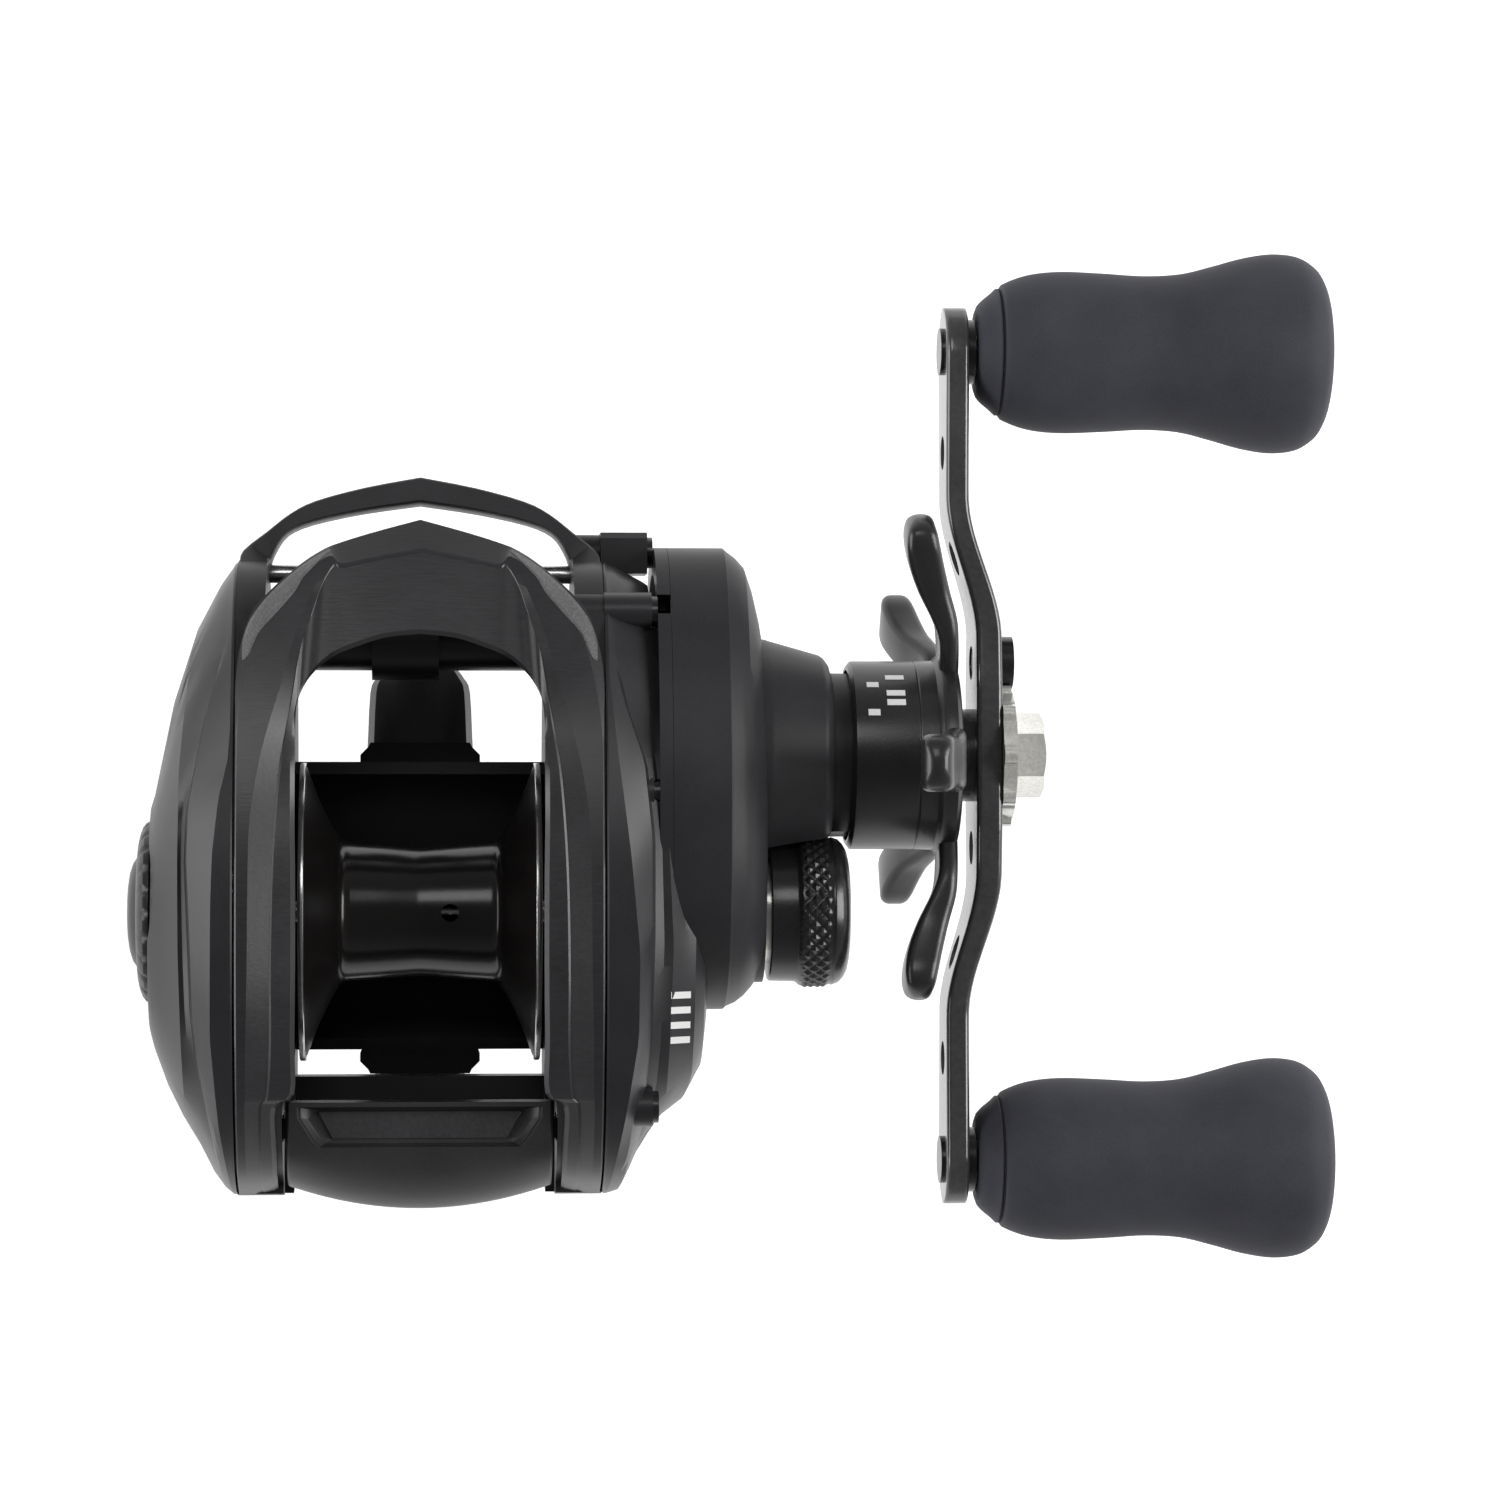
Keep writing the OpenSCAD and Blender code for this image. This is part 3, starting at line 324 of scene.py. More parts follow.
# Each section of a cover: x, rear, front, bottom, top.
PALM_SECTIONS = [(24.3, -37.8, 47.2, 2.5, 50.5), (26.7, -36.2, 43.8, 3.4, 49.2),
                 (28.5, -32.2, 40.6, 4.8, 48.3), (30.3, -29.0, 36.6, 6.6, 47.4),
                 (31.5, -27.2, 32.8, 8.4, 46.0), (33, -24.3, 27.4, 10.8, 43.6),
                 (34.5, -20.8, 20.2, 12.6, 41.2), (35.4, -18, 15.5, 13.6, 39.9),
                 (35.8, -16.4, 14.4, 14.2, 39.2)]
GEAR_SECTIONS = [(24.3, -37.8, 47.2, 2.5, 50.5), (27.2, -37, 46.2, 2.9, 49.2),
                 (29.8, -30.2, 44.6, 4.6, 48.0), (31.5, -28.0, 43.2, 6, 47.2),
                 (34.5, -25.8, 41, 7.6, 44.9), (36.8, -23.7, 37, 9, 43.3), (37.7, -20.4, 32, 11, 41.5),
                 (38.1, -16.5, 28, 13, 39.5)]
CASE_SECTIONS = [(33.2, -13.2, 49.2, 1.6, 46.4), (41.2, -13.2, 49.2, 1.6, 46.4),
                 (44, -10.6, 45.7, 4.2, 43.8), (46, -8.6, 38, 7.4, 40.8)]
# Where the raised band beside the joint ends, and where the flank turns to the outer face: (y, x).
PALM_BAND = [(-38, 25.2), (-36, 25.6), (-27.7, 27.4), (-19.4, 28.9), (-13.4, 29.5), (-4.5, 29.8),
             (7.5, 30.3), (14, 30.1), (25.4, 28), (35, 25.4), (48, 25.0)]
PALM_RIDGE = [(-38, 26.4), (-33, 28.6), (-25.3, 30.9), (-15.6, 31.2), (-4.7, 31.5), (8, 31.6),
              (19.4, 31.5), (32.1, 30.5), (39.4, 27.6), (48, 25.6)]
GEAR_BAND = [(-38, 26.3), (-36.6, 26.6), (-26.7, 29.2), (-18.8, 29.9), (-3.4, 30.3), (10.1, 30.3),
             (19.9, 29.3), (27.3, 26.9), (33.4, 25.4), (48, 25.0)]
GEAR_RIDGE = [(-38, 27.2), (-28, 30.9), (-24, 32.6), (-4, 33.2), (18.7, 32.1), (31.8, 31.9),
              (37.4, 29.7), (45.5, 26.2), (48, 25.6)]
# Where the level strip beside the joint ends, as (y, x).
PALM_CREASE = [(-38, 24.7), (-27, 26.2), (-15, 27.2), (1.6, 27.1), (7.7, 26.9), (15, 26.1), (19.7, 25.0),
               (24, 24.7)]
GEAR_CREASE = [(-38, 24.8), (-25, 27.0), (-15, 28.5), (-4.3, 28.6), (7, 27.5), (20, 25.9), (31, 24.8),
               (47, 24.7)]


def cover_ring(sections, x, inset=0.0, lift=0.0):
    """Ring round a cover. x and lift may vary from point to point: lift stands out from the axis."""
    table = np.array(sections, float)
    x = np.broadcast_to(np.asarray(x, float), len(SIDE_UNIT))
    rear, front, bottom, top = (np.interp(x, table[:, 0], table[:, k]) for k in range(1, 5))
    y = rear + inset + SIDE_UNIT[:, 0] * (front - rear - 2 * inset)
    z = bottom + inset + SIDE_UNIT[:, 1] * (top - bottom - 2 * inset)
    away = np.column_stack([y - COVER_CENTRE[0], z - COVER_CENTRE[1]])
    away /= np.linalg.norm(away, axis=1)[:, None]
    return np.column_stack([x, y + away[:, 0] * lift, z + away[:, 1] * lift])


def crease(sections, table):
    """x all round a cover of a line given as (y, x). A ring's y depends on its x, so x is found in rounds."""
    x = np.full(len(SIDE_UNIT), table[0][1], float)
    for _ in range(6):
        x = between(cover_ring(sections, x)[:, 1], table)
    return x


def cover_rows(sections, level, band, ridge, last):
    """Outer rings of a side cover from the joint outwards: a level strip, a band, a step down, a flank and a
    ridge."""
    band_x, ridge_x = crease(sections, band), crease(sections, ridge)
    fade = np.clip((band_x - SEAM_X - 0.9) / 2.5, 0, 1)
    step = 0.75 * fade
    rows = [cover_ring(sections, SEAM_X, lift=-LIP), cover_ring(sections, SEAM_X + LIP)]
    # the strip beside the joint stays level up to a crease, and the band falls from there to its edge
    level_x = np.minimum(crease(sections, level), band_x - 0.2)
    raised = 0.5 * (level_x - SEAM_X - LIP)
    rows.append(cover_ring(sections, level_x, lift=raised))
    rows.append(cover_ring(sections, 0.5 * (level_x + band_x), lift=0.5 * raised + 0.15 * fade))
    rows.append(cover_ring(sections, band_x, lift=0.25 * fade))
    rows.append(cover_ring(sections, band_x + 0.45, lift=-step))
    far_x = np.maximum(ridge_x, band_x + 0.9)
    rows.append(cover_ring(sections, 0.5 * (band_x + 0.45 + far_x), lift=-0.85 * step))
    rows.append(cover_ring(sections, far_x, lift=0.1 * fade))
    for t in (0.35, 0.7):
        rows.append(cover_ring(sections, far_x + (last - 0.5 - far_x) * t, lift=-0.3 * fade * (1 - t)))
    rows.append(cover_ring(sections, last - 0.5))
    rows.append(cover_ring(sections, last))
    return rows


def flip_x(rows):
    """The rows on the other side of the reel."""
    return [np.asarray(row) * [-1, 1, 1] for row in rows]


def palm_side_cover():
    """Left cover, which slides off with the brake dial."""
    walls = [(34, 5.5), (32, 4), (30, 3.2), (28, 2.7), (26, 2.3), (24.3, 2)]
    inner = [cover_ring(PALM_SECTIONS, x, inset=t) for x, t in walls]
    outer = cover_rows(PALM_SECTIONS, PALM_CREASE, PALM_BAND, PALM_RIDGE, 35.8)
    obj = make("palm_cover_shell", Shape().skin(flip_x(inner + outer)))
    # shallow round seat for the brake dial, then a boss inside with the bearing's seat and the dial's bore
    carve(obj, Shape().turn([(-40, 12.75), (-35.45, 12.75)], SPOOL))
    carve(obj, Shape().turn([(-34.9, 7.4), (-28.2, 7.0), (-27.5, 6.5)], SPOOL), "UNION")
    carve(obj, Shape().turn([(-31.5, BEARING_SEAT), (-20, BEARING_SEAT)], SPOOL))
    carve(obj, Shape().turn([(-40, 3.0), (-31, 3.0)], SPOOL))
    finish_piece(obj, "palm_cover", "body", replaces=["palm_side_cover"], angle=15, bevel=0.16)


def brake_dial():
    """Low domed dial with a ribbed rim."""
    def grips(a):
        return max(0.0, math.cos(24 * a)) ** 3

    profile = [(-35.55, 3.2), (-35.6, 12.0), (-35.75, 12.2), (-36.0, 12.2, 0.2), (-36.5, 12.0, 0.3),
               (-36.95, 11.4, 0.3), (-37.3, 10.5, 0.15), (-37.5, 9.6), (-37.6, 8.6), (-37.35, 8.2),
               (-37.3, 7.9), (-37.75, 7.4), (-38.3, 6.6), (-38.7, 5.4), (-38.95, 3.8), (-39.05, 2.0),
               (-39.1, 0.6)]
    shape = Shape().turn(profile, SPOOL, 240, grips)
    shape.rod(-35.7, -32.9, 2.97, SPOOL)
    obj = make("brake_dial_knob", shape)
    finish_piece(obj, "brake_dial", "body", replaces=["brake_dial"], angle=30)


SCREW_PLACES = [(48.6, 23), (40, 37.4), (16, 43.9), (-25.5, 41)]
HEAD_X = 30.6            # seat of the screw heads
LEDGE_X = (31.4, 33.15)  # strip of the gear cover that the case stands on


def case_outline(inset):
    """Side view of the gear case as (y, z)."""
    return [(y, z) for _, y, z in cover_ring(CASE_SECTIONS, 33.2, inset=inset)]


def gear_side_cover():
    """Right cover, with the screw bosses, the end of the guard and the ledge that the gear case stands on."""
    walls = [(34.5, 3.4), (29.8, 2.6), (27.2, 2.2), (24.3, 2)]
    inner = [cover_ring(GEAR_SECTIONS, x, inset=t) for x, t in walls]
    outer = cover_rows(GEAR_SECTIONS, GEAR_CREASE, GEAR_BAND, GEAR_RIDGE, 38.1)
    obj = make("gear_cover_shell", Shape().skin(inner + outer))
    carve(obj, Shape().along_x(case_outline(0.0), *LEDGE_X), "UNION")
    for y, z in SCREW_PLACES:
        carve(obj, Shape().rod(SEAM_X, HEAD_X, 2.6, (y, z)), "UNION")
    guard_end = [(45.6, 19.6), (50.4, 19.6), (51.2, 20.4), (51.2, 25.8), (50.4, 26.6), (45.6, 26.6)]
    carve(obj, Shape().along_x(guard_end, SEAM_X, HEAD_X), "UNION")
    carve(obj, Shape().along_x(case_outline(-0.12), LEDGE_X[1], 60))
    carve(obj, Shape().along_x(case_outline(2.0), 32.7, 40))
    carve(obj, Shape().along_x(case_outline(3.6), 30.5, 34))
    for y, z in SCREW_PLACES:
        carve(obj, Shape().rod(HEAD_X, 45, 2.35, (y, z)))
    finish_piece(obj, "frame", "body", replaces=["gear_side_cover"], angle=15, bevel=0.16)
    rim = np.array(case_outline(0.0))

    def on_ledge(face):
        x, y, z = face.center / MM
        near = np.min(np.hypot(rim[:, 0] - y, rim[:, 1] - z)) < 1.2
        return bool(31.35 < x < 33.3 and near and abs(face.normal.x) < 0.5)

    refinish(obj, "case", on_ledge)


def gear_case():
    """Case over the drive gear, with the stepped tower round the drive shaft and the cap's seat."""
    rings = ((33.2, 0), (36.5, 0), (40.8, 0), (41.25, -0.35), (42.4, 0.25), (43.6, 0.45), (44.6, 0.3),
             (45.5, -0.1), (46.0, -1.2))
    outer = [cover_ring(CASE_SECTIONS, x, lift=lift) for x, lift in rings]
    inner = [cover_ring(CASE_SECTIONS, x, inset=t) for x, t in ((44, 3.2), (41.2, 2), (33.2, 2))]
    obj = make("gear_case_shell", Shape().skin(inner + outer))
    tower = Shape().turn([(44.6, 15.9), (46.6, 15.7), (47.0, 15.55), (53.9, 13.6), (54.5, 13.2),
                          (55.1, 12.4), (55.3, 11.7), (55.5, 11.15), (59.9, 11.1)], DRIVE, 128)
    carve(obj, tower, "UNION")
    carve(obj, Shape().turn([(42.2, 9.6), (46.05, 9.6)], SPOOL), "UNION")
    for x0, x1, r in ((43, 46.5, 8), (46.4, 54.6, 9.5), (54.5, 62, 7)):
        carve(obj, Shape().rod(x0, x1, r, DRIVE, 96))
    for x0, x1, r in ((40, 45.01, 6.4), (44.9, 50, 7), (46.06, 60, 10.8)):
        carve(obj, Shape().rod(x0, x1, r, SPOOL, 96))
    # drain slots over the front shoulder
    for y, z in ((45.2, 35.6), (39.0, 41.2)):
        turns = np.linspace(0, 2 * math.pi, 20, endpoint=False)
        slot = [(y + 1.5 * math.cos(a), z + 0.8 * math.sin(a)) for a in turns]
        carve(obj, Shape().along_x(slot, 42.3, 43.6))
    finish_piece(obj, "frame", "body", finish="case", replaces=["gear_case"], angle=20, bevel=0.22)


# ---------- top cover ----------

HOOD_SIDE = smooth([(-37.7, 31), (-33.6, 40.2), (-25, 46.8), (-13, 49.9), (0, 50.5), (13, 49.6), (26, 46.9),
                    (36, 43.8), (45, 40.4), (52.6, 36.4)], 8)


def hood_z(y):
    """Height of the hood and rails along the reel's side."""
    return np.interp(y, HOOD_SIDE[:, 0], HOOD_SIDE[:, 1])


# Half plan of the hood, front to rear. Each row crosses it as (x, y): the outer edge, the fold
# inside the inlay, the two creases beside the crown, and the edge of the spool opening.
HOOD_ROWS = [
    [(0, 52.2), (0, 48.3), (0, 48.1), (0, 47.9), (0, 36.8)],
    [(6.4, 50.4), (6.2, 47.1), (6.2, 46.9), (6.2, 46.7), (4.6, 36.3)],
    [(11.0, 48.9), (10.4, 46.2), (10.4, 46.0), (10.3, 45.8), (8.6, 35.0)],
    [(13.0, 48.0), (11.9, 47.2), (11.6, 46.7), (11.3, 46.1), (11.4, 33.8)],
    [(15.8, 46.1), (15.1, 44.8), (13.4, 44.1), (12.8, 43.6), (13.6, 32.0)],
    [(19.7, 42.6), (18.6, 39.9), (15.4, 39.5), (14.3, 39.2), (15.0, 30.2)],
    [(22.3, 39.2), (21.0, 36.9), (16.7, 35.6), (15.6, 35.3), (15.9, 28.2)],
    [(24, 32.5), (22.7, 31.4), (18.3, 29.6), (16.7, 29.0), (16.2, 26.4)],
    [(24, 24.5), (23.7, 24.4), (19.9, 24.2), (17.6, 24.0), (16.3, 23.0)],
]
# The rails' rows, which cross square to them: y, then x of the inner four places.
RAIL_ROWS = [(19, 23.8, 21.1, 18.4, 16.3), (12, 23.8, 22.1, 19.0, 16.3), (4, 23.8, 22.3, 19.4, 16.2),
             (-7.5, 23.8, 22.4, 19.6, 16.2), (-16.4, 23.8, 22.6, 19.6, 16.3), (-23.4, 23.8, 22.7, 20.0, 16.4),
             (-25.2, 23.8, 22.8, 20.9, 18.8)]
RAIL_ROWS += [(y, 23.8, 22.8, 21.0, 18.8) for y in (-31, -35.3, -37.7)]
HOOD_ROWS += [[(x, y) for x in (24, *inner)] for y, *inner in RAIL_ROWS]


def hood_point(column, x, y):
    """Height of the hood where a row crosses one of its five lines."""
    front = np.clip((y - 24) / 10, 0, 1)           # the hood proper, ahead of the rails
    crown = 0.9 * front * (1 - (x / 20) ** 2)
    rail = 1 - np.clip((y - 12) / 9, 0, 1)         # the rails, whose inner side falls away
    facet = 1 - np.clip((y - 40) / 4.5, 0, 1)      # the slope beside the crown, which fades at the front
    inner = (-1.1 + 0.9 * front) * facet + 0.22 * (1 - facet)
    rim = min(inner, 0) - 0.3 - 0.75 * rail - 0.35 * front
    drop = [-0.15 - 0.85 * front, 0.18 * (1 - facet), 0.05 + 0.15 * front, inner, rim][column]
    return hood_z(y) + drop + crown


def hood_rows():
    """Rows across the hood, from the rear of the left rail round the front to the rear of the right one."""
    lines = [smooth([row[c] for row in HOOD_ROWS], 4) for c in range(5)]
    rows = []
    for places in zip(*lines):
        row = [(x, y, hood_point(c, x, y)) for c, (x, y) in enumerate(places)]
        # a small upstand just inside the second crease
        a, b = np.array(row[3]), np.array(row[4])
        width = max(0.1, np.linalg.norm((a - b)[:2]))
        inner = a + (b - a) * min(0.3, 0.3 / width)
        inner[2] = a[2] + 0.16 * float(np.clip((42 - a[1]) / 6, 0, 1))
        # and a narrow slope round the opening on the hood proper
        outer = b + (a - b) * min(0.5, 0.6 / width)
        front = float(np.clip((b[1] - 24) / 8, 0, 1))
        level = hood_point(3, outer[0], outer[1]) + 0.04
        straight = inner[2] + (b[2] - inner[2]) * 0.5
        outer[2] = level * front + straight * (1 - front)
        row[4:4] = [tuple(inner), tuple(outer)]
        rows.append(row)
    left = [[(-x, y, z) for x, y, z in row] for row in reversed(rows[1:])]
    return left + rows


def top_cover():
    """Hood over the line guide and a rail over each wall, as one sheet given its thickness downwards."""
    obj = make("hood_shell", Shape().skin(hood_rows(), wrap=False, ends=False))
    face_up(obj)
    finish_piece(obj, "frame", "hood", replaces=["top_cover"], angle=13, bevel=0.14, solid=2.0)


# Outer and inner side of an inlay, rear to front, as (x, y).
INLAY_OUTER = [(23.3, 33.6), (23.2, 36.0), (22.1, 39.0), (19.5, 42.4), (15.6, 45.9), (11.9, 48.2)]
INLAY_INNER = [(23.2, 33.3), (22.4, 34.0), (21.1, 37.0), (18.7, 39.8), (16.5, 42.4), (15.2, 44.6),
               (11.8, 48.0)]


def even_steps(line, count):
    """The line as this many points at even distances along it."""
    line = smooth(line, 8)
    travel = np.concatenate([[0], np.cumsum(np.linalg.norm(np.diff(line, axis=0), axis=1))])
    places = np.linspace(0, travel[-1], count)
    return np.column_stack([np.interp(places, travel, line[:, k]) for k in (0, 1)])


def cover_inlays():
    """Two coarse inlays that lie on the hood's front corners and run to a point at both ends."""
    hood = bpy.data.objects["hood_shell"]
    outer, inner = even_steps(INLAY_OUTER, 40), even_steps(INLAY_INNER, 40)
    for side, name in ((1, "inlay_right"), (-1, "inlay_left")):
        strip = []
        for a, b in zip(outer, inner):
            row = []
            for t in (0, 0.25, 0.5, 0.75, 1):
                x, y = a + (b - a) * t
                hit, place, _, _ = hood.ray_cast(Vector((side * x * MM, y * MM, 0.1)), Vector((0, 0, -1)))
                z = place.z / MM if hit else hood_z(y) - 0.8
                row.append((side * x, y, z + 0.1))
            strip.append(row)
        obj = make(name, Shape().skin(strip, wrap=False, ends=False))
        face_up(obj)
        finish_piece(obj, "frame", "inlay", replaces=["cover_inlays"], angle=40, solid=0.4)


# ---------- spool ----------

SPOOL_HALF, FLANGE_R = 16.0, 20.0
DULL_FROM = 10.9         # distance from the middle where the flanges' duller finish begins


def spool():
    """Arbor and two flared flanges, with the shaft's bore, the line's hole and a bare rim on each flange."""
    outside = [(-7.4, 7.3), (-10, 7.4), (-11.8, 9.4), (-15.2, 14.4), (-SPOOL_HALF, 19.2),
               (-SPOOL_HALF, FLANGE_R - 0.35)]
    wall = [(-SPOOL_HALF + 0.7, FLANGE_R - 0.35), (-SPOOL_HALF + 0.95, 19.2), (-14.4, 17.4), (-13.5, 15.0),
            (-12.5, 12.9), (-11.6, 11.2), (-10.9, 10.15), (-10.5, 9.65), (-10.0, 9.35), (-9.2, 9.25)]
    arbor = [(-6, 9.05), (-3, 8.82), (-0.6, 8.62), (0, 8.6)]
    left = outside + wall + arbor
    profile = left + [(-x, r) for x, r in reversed(left[:-1])]
    obj = make("spool_drum", Shape().turn(profile, SPOOL, 160))
    carve(obj, Shape().rod(-20, 20, 1.52, SPOOL))
    hole = [(x, y) for y, x in circle(1.2, (0, 4), 32)]
    carve(obj, Shape().plan(hole, SPOOL[1], 60))
    finish_piece(obj, "spool", "spool", replaces=["spool"], angle=28, bevel=0.12)
    refinish(obj, "flange", lambda face: abs(face.center.x) > DULL_FROM * MM)
    rims = Shape()
    edge = [(-0.8, -0.75), (-0.8, -0.1), (-0.7, 0), (-0.15, 0), (0, -0.12), (0.02, -0.75)]
    for s in (-1, 1):
        rims.hoop([(s * (SPOOL_HALF + x), FLANGE_R + r) for x, r in edge], SPOOL, 160)
    finish_piece(make("spool_rims", rims), "spool", "spool", finish="rim", angle=40)


# ---------- thumb bar ----------

BAR_HALF = 17.5          # half the bar's width
BAR_TURN = -31.0         # y where its level front starts to fall away


def thumb_bar():
    """Clutch bar: a level front with a dished tray, then a face that falls away to a bowed rear edge."""
    columns = np.concatenate([[-BAR_HALF, -17.2], np.linspace(-16.6, 16.6, 23), [17.2, BAR_HALF]])
    rows = []
    for x in columns:
        tip = -36.4 - 3.1 * (1 - (x / BAR_HALF) ** 2)
        low = 0.45 if abs(x) == BAR_HALF else 0.0
        reach = tip - BAR_TURN
        fall = smooth([(-24.7, 41.9), (-27.5, 41.8), (BAR_TURN, 41.1), (BAR_TURN + reach * 0.4, 39.2),
                       (BAR_TURN + reach * 0.75, 36.3), (BAR_TURN + reach * 0.95, 33.4), (tip, 31.6)], 3)
        top = [(y, z - low) for y, z in fall]
        under = [(tip + 0.7, 30.9), (-34.2, 33.4), (-30, 35.6), (-24.7, 36.5)]
        rows.append([(x, y, z) for y, z in top + under])
    obj = make("thumb_bar_body", Shape().skin(rows))
    # tray: its floor drops towards the front, and its ends curve up
    layers = []
    for z, front, rear, wide, narrow in ((39.6, -25.9, -29.7, 13.6, 11.6), (39.9, -25.6, -30.2, 14.8, 12.4),
                                         (40.6, -25.4, -30.6, 15.7, 13.0), (42.6, -25.3, -30.8, 16.2, 13.4)):
        half = [(wide, front), (wide, front - 1.4), (narrow + 0.9, rear + 0.9), (narrow, rear)]
        layers.append([(x, y, z) for x, y in half] + [(-x, y, z) for x, y in reversed(half)])
    carve(obj, Shape().skin(layers))
    arms = Shape()
    for s in (-1, 1):
        arms.plan([(s * 17.3, -29.8), (s * 21.5, -29.8), (s * 21.5, -27.2), (s * 17.3, -27.2)], 34.2, 37.2)
    carve(obj, arms, "UNION")
    finish_piece(obj, "thumb_bar", "bar", replaces=["thumb_bar"], angle=24, bevel=0.25, segments=3)
    pan = Shape().plan([(13.4, -26.0), (11.5, -29.6), (-11.5, -29.6), (-13.4, -26.0)], 39.68, 39.86)
    finish_piece(make("thumb_bar_tray", pan), "thumb_bar", "bar", finish="tray", angle=40, bevel=0.06)


# ---------- tension cap ----------

def tension_cap():
    """Cap with a band of diamond knurling."""
    segments, turns, steps = 288, 36, 30
    x_in, x_out, radius, depth = 50.95, 54.95, 9.95, 0.4
    pitch = 2 * math.pi * radius / turns

    def plain(*profile):
        return [[(x, y, z) for y, z in circle(r, SPOOL, segments)] for x, r in profile]

    rows = plain((46.85, 7.1), (46.8, 9.2), (47.0, 9.42), (50.3, 9.5), (50.6, 9.6))
    for i in range(steps + 1):
        x = x_in + (x_out - x_in) * i / steps
        edge = min(1.0, 6 * min(i, steps - i) / steps)
        row = []
        for k in range(segments):
            a = 2 * math.pi * k / segments
            u, v = a * turns / (2 * math.pi), (x - x_in) / pitch
            dents = [abs(((u + s * v) % 1.0) - 0.5) * 2 for s in (-1, 1)]
            r = radius + depth * min(dents) * edge
            row.append((x, SPOOL[0] + r * math.sin(a), SPOOL[1] + r * math.cos(a)))
        rows.append(row)
    rows += plain((55.2, 9.9), (55.45, 10.0), (56.3, 9.7), (56.9, 9.1), (57.35, 8.3), (57.55, 7.4),
                  (57.3, 6.6), (57.25, 0.6))
    obj = make("tension_cap_knob", Shape().skin(rows))
    carve(obj, Shape().rod(46, 53.2, 7.02, SPOOL, 96))
    finish_piece(obj, "tension_cap", "black_metal", replaces=["tension_cap"], angle=38)


# ---------- star drag ----------

STAR_TURN = math.radians(-2.4)
HUB_R = 12.8
# Along an arm: distance from the shaft, half width, x of its inner and outer face.
STAR_ARM = [(9, 3.0, 69.9, 72.4), (13.5, 3.5, 69.8, 72.4), (17.5, 4.25, 69.5, 72.2),
            (20.5, 3.9, 68.4, 71.9), (24, 3.3, 66.6, 70.9), (27.5, 3.45, 65.3, 70.0),
            (30.5, 3.75, 64.8, 69.3), (32.6, 3.3, 65.0, 68.8), (33.6, 2.2, 65.6, 68.2),
            (34.0, 1.0, 66.2, 67.6)]


def rounded_box(u0, u1, v0, v1, corner, steps):
    """Rounded rectangle as (u, v)."""
    corner = min(corner, 0.49 * (u1 - u0), 0.49 * (v1 - v0))
    loop = []
    for cu, cv, start in ((u1 - corner, v1 - corner, 0), (u0 + corner, v1 - corner, 90),
                          (u0 + corner, v0 + corner, 180), (u1 - corner, v0 + corner, 270)):
        for s in range(steps + 1):
            a = math.radians(start + 90 * s / steps)
            loop.append((cu + corner * math.cos(a), cv + corner * math.sin(a)))
    return loop


def drag_star():
    """Hub with a collar, and five arms that lean inwards to thick tips."""
    shape = Shape()
    for k in range(5):
        turn = STAR_TURN + k * 2 * math.pi / 5
        rows = []
        for r, width, x0, x1 in smooth(STAR_ARM, 4):
            rows.append([(x, DRIVE[0] + r * math.sin(turn) + u * math.cos(turn),
                          DRIVE[1] + r * math.cos(turn) - u * math.sin(turn))
                         for u, x in rounded_box(-width, width, x0, x1, 1.15, 4)])
        shape.skin(rows)
    hub = [(57.7, 11.6), (57.7, 12.1), (58.2, 12.75), (58.6, HUB_R), (66.6, HUB_R), (66.8, 12.65),
           (67.0, HUB_R), (69.3, 12.85), (69.8, 13.4), (70.1, 13.6), (71.8, 13.6), (72.3, 13.1),
           (72.5, 12.5), (72.5, 5.6), (65.2, 5.6), (65.2, 11.6)]
    shape.hoop(hub, DRIVE, 120)
    finish_piece(make("star_wheel", shape), "drag_star", "star", replaces=["drag_star"], angle=34)


# ---------- handle ----------

ARM_X, ARM_T = 74.9, 3.5                 # inner face at the shaft, and thickness
ARM_IN = 3.9                             # how far the ends stand in from there
ARM_END = 6.0                            # radius of the arm's ends
ARM_HOLES = (12.6, 26.8, 41.2)           # lightening holes, from the shaft


def crank_shift(y):
    """How far the arm has leaned in at a distance y from the shaft."""
    t = min(1.0, max(0.0, (abs(y) - 16) / 19))
    return ARM_IN * t * t * (3 - 2 * t)


def handle_arm():
    """Flat arm with round ends that lean in towards the reel."""
    ends = KNOB_Y + ARM_END * np.sin(np.radians([0, 25, 45, 62, 76, 85]))
    places = sorted(set(np.round(np.concatenate([ends, -ends, np.arange(-54, 54.1, 1.5)]), 3)))
    rows = []
    for y in places:
        half = between(abs(y), [(0, 7.5), (9, 7.5), (20, 6.2), (36, 5.1), (47, 5.5), (KNOB_Y, ARM_END)])
        if abs(y) > KNOB_Y:
            half = math.sqrt(max(0.3, ARM_END ** 2 - (abs(y) - KNOB_Y) ** 2))
        shift = crank_shift(y)
        section = rounded_box(ARM_X - shift, ARM_X + ARM_T - 1.1 * shift, -half, half, 0.75, 4)
        rows.append([(x, DRIVE[0] + y, DRIVE[1] + z) for x, z in section])
    obj = make("crank_arm", Shape().skin(rows))
    for s in (-1, 1):
        for y in ARM_HOLES:
            carve(obj, Shape().rod(60, 90, 2.3, (DRIVE[0] + s * y, DRIVE[1])))
        carve(obj, Shape().rod(60, 90, 2.01, (DRIVE[0] + s * KNOB_Y, DRIVE[1])))
    carve(obj, Shape().rod(60, 90, 3.52, DRIVE))
    finish_piece(obj, "crank", "handle", replaces=["handle_arm"], angle=34, bevel=0.15)


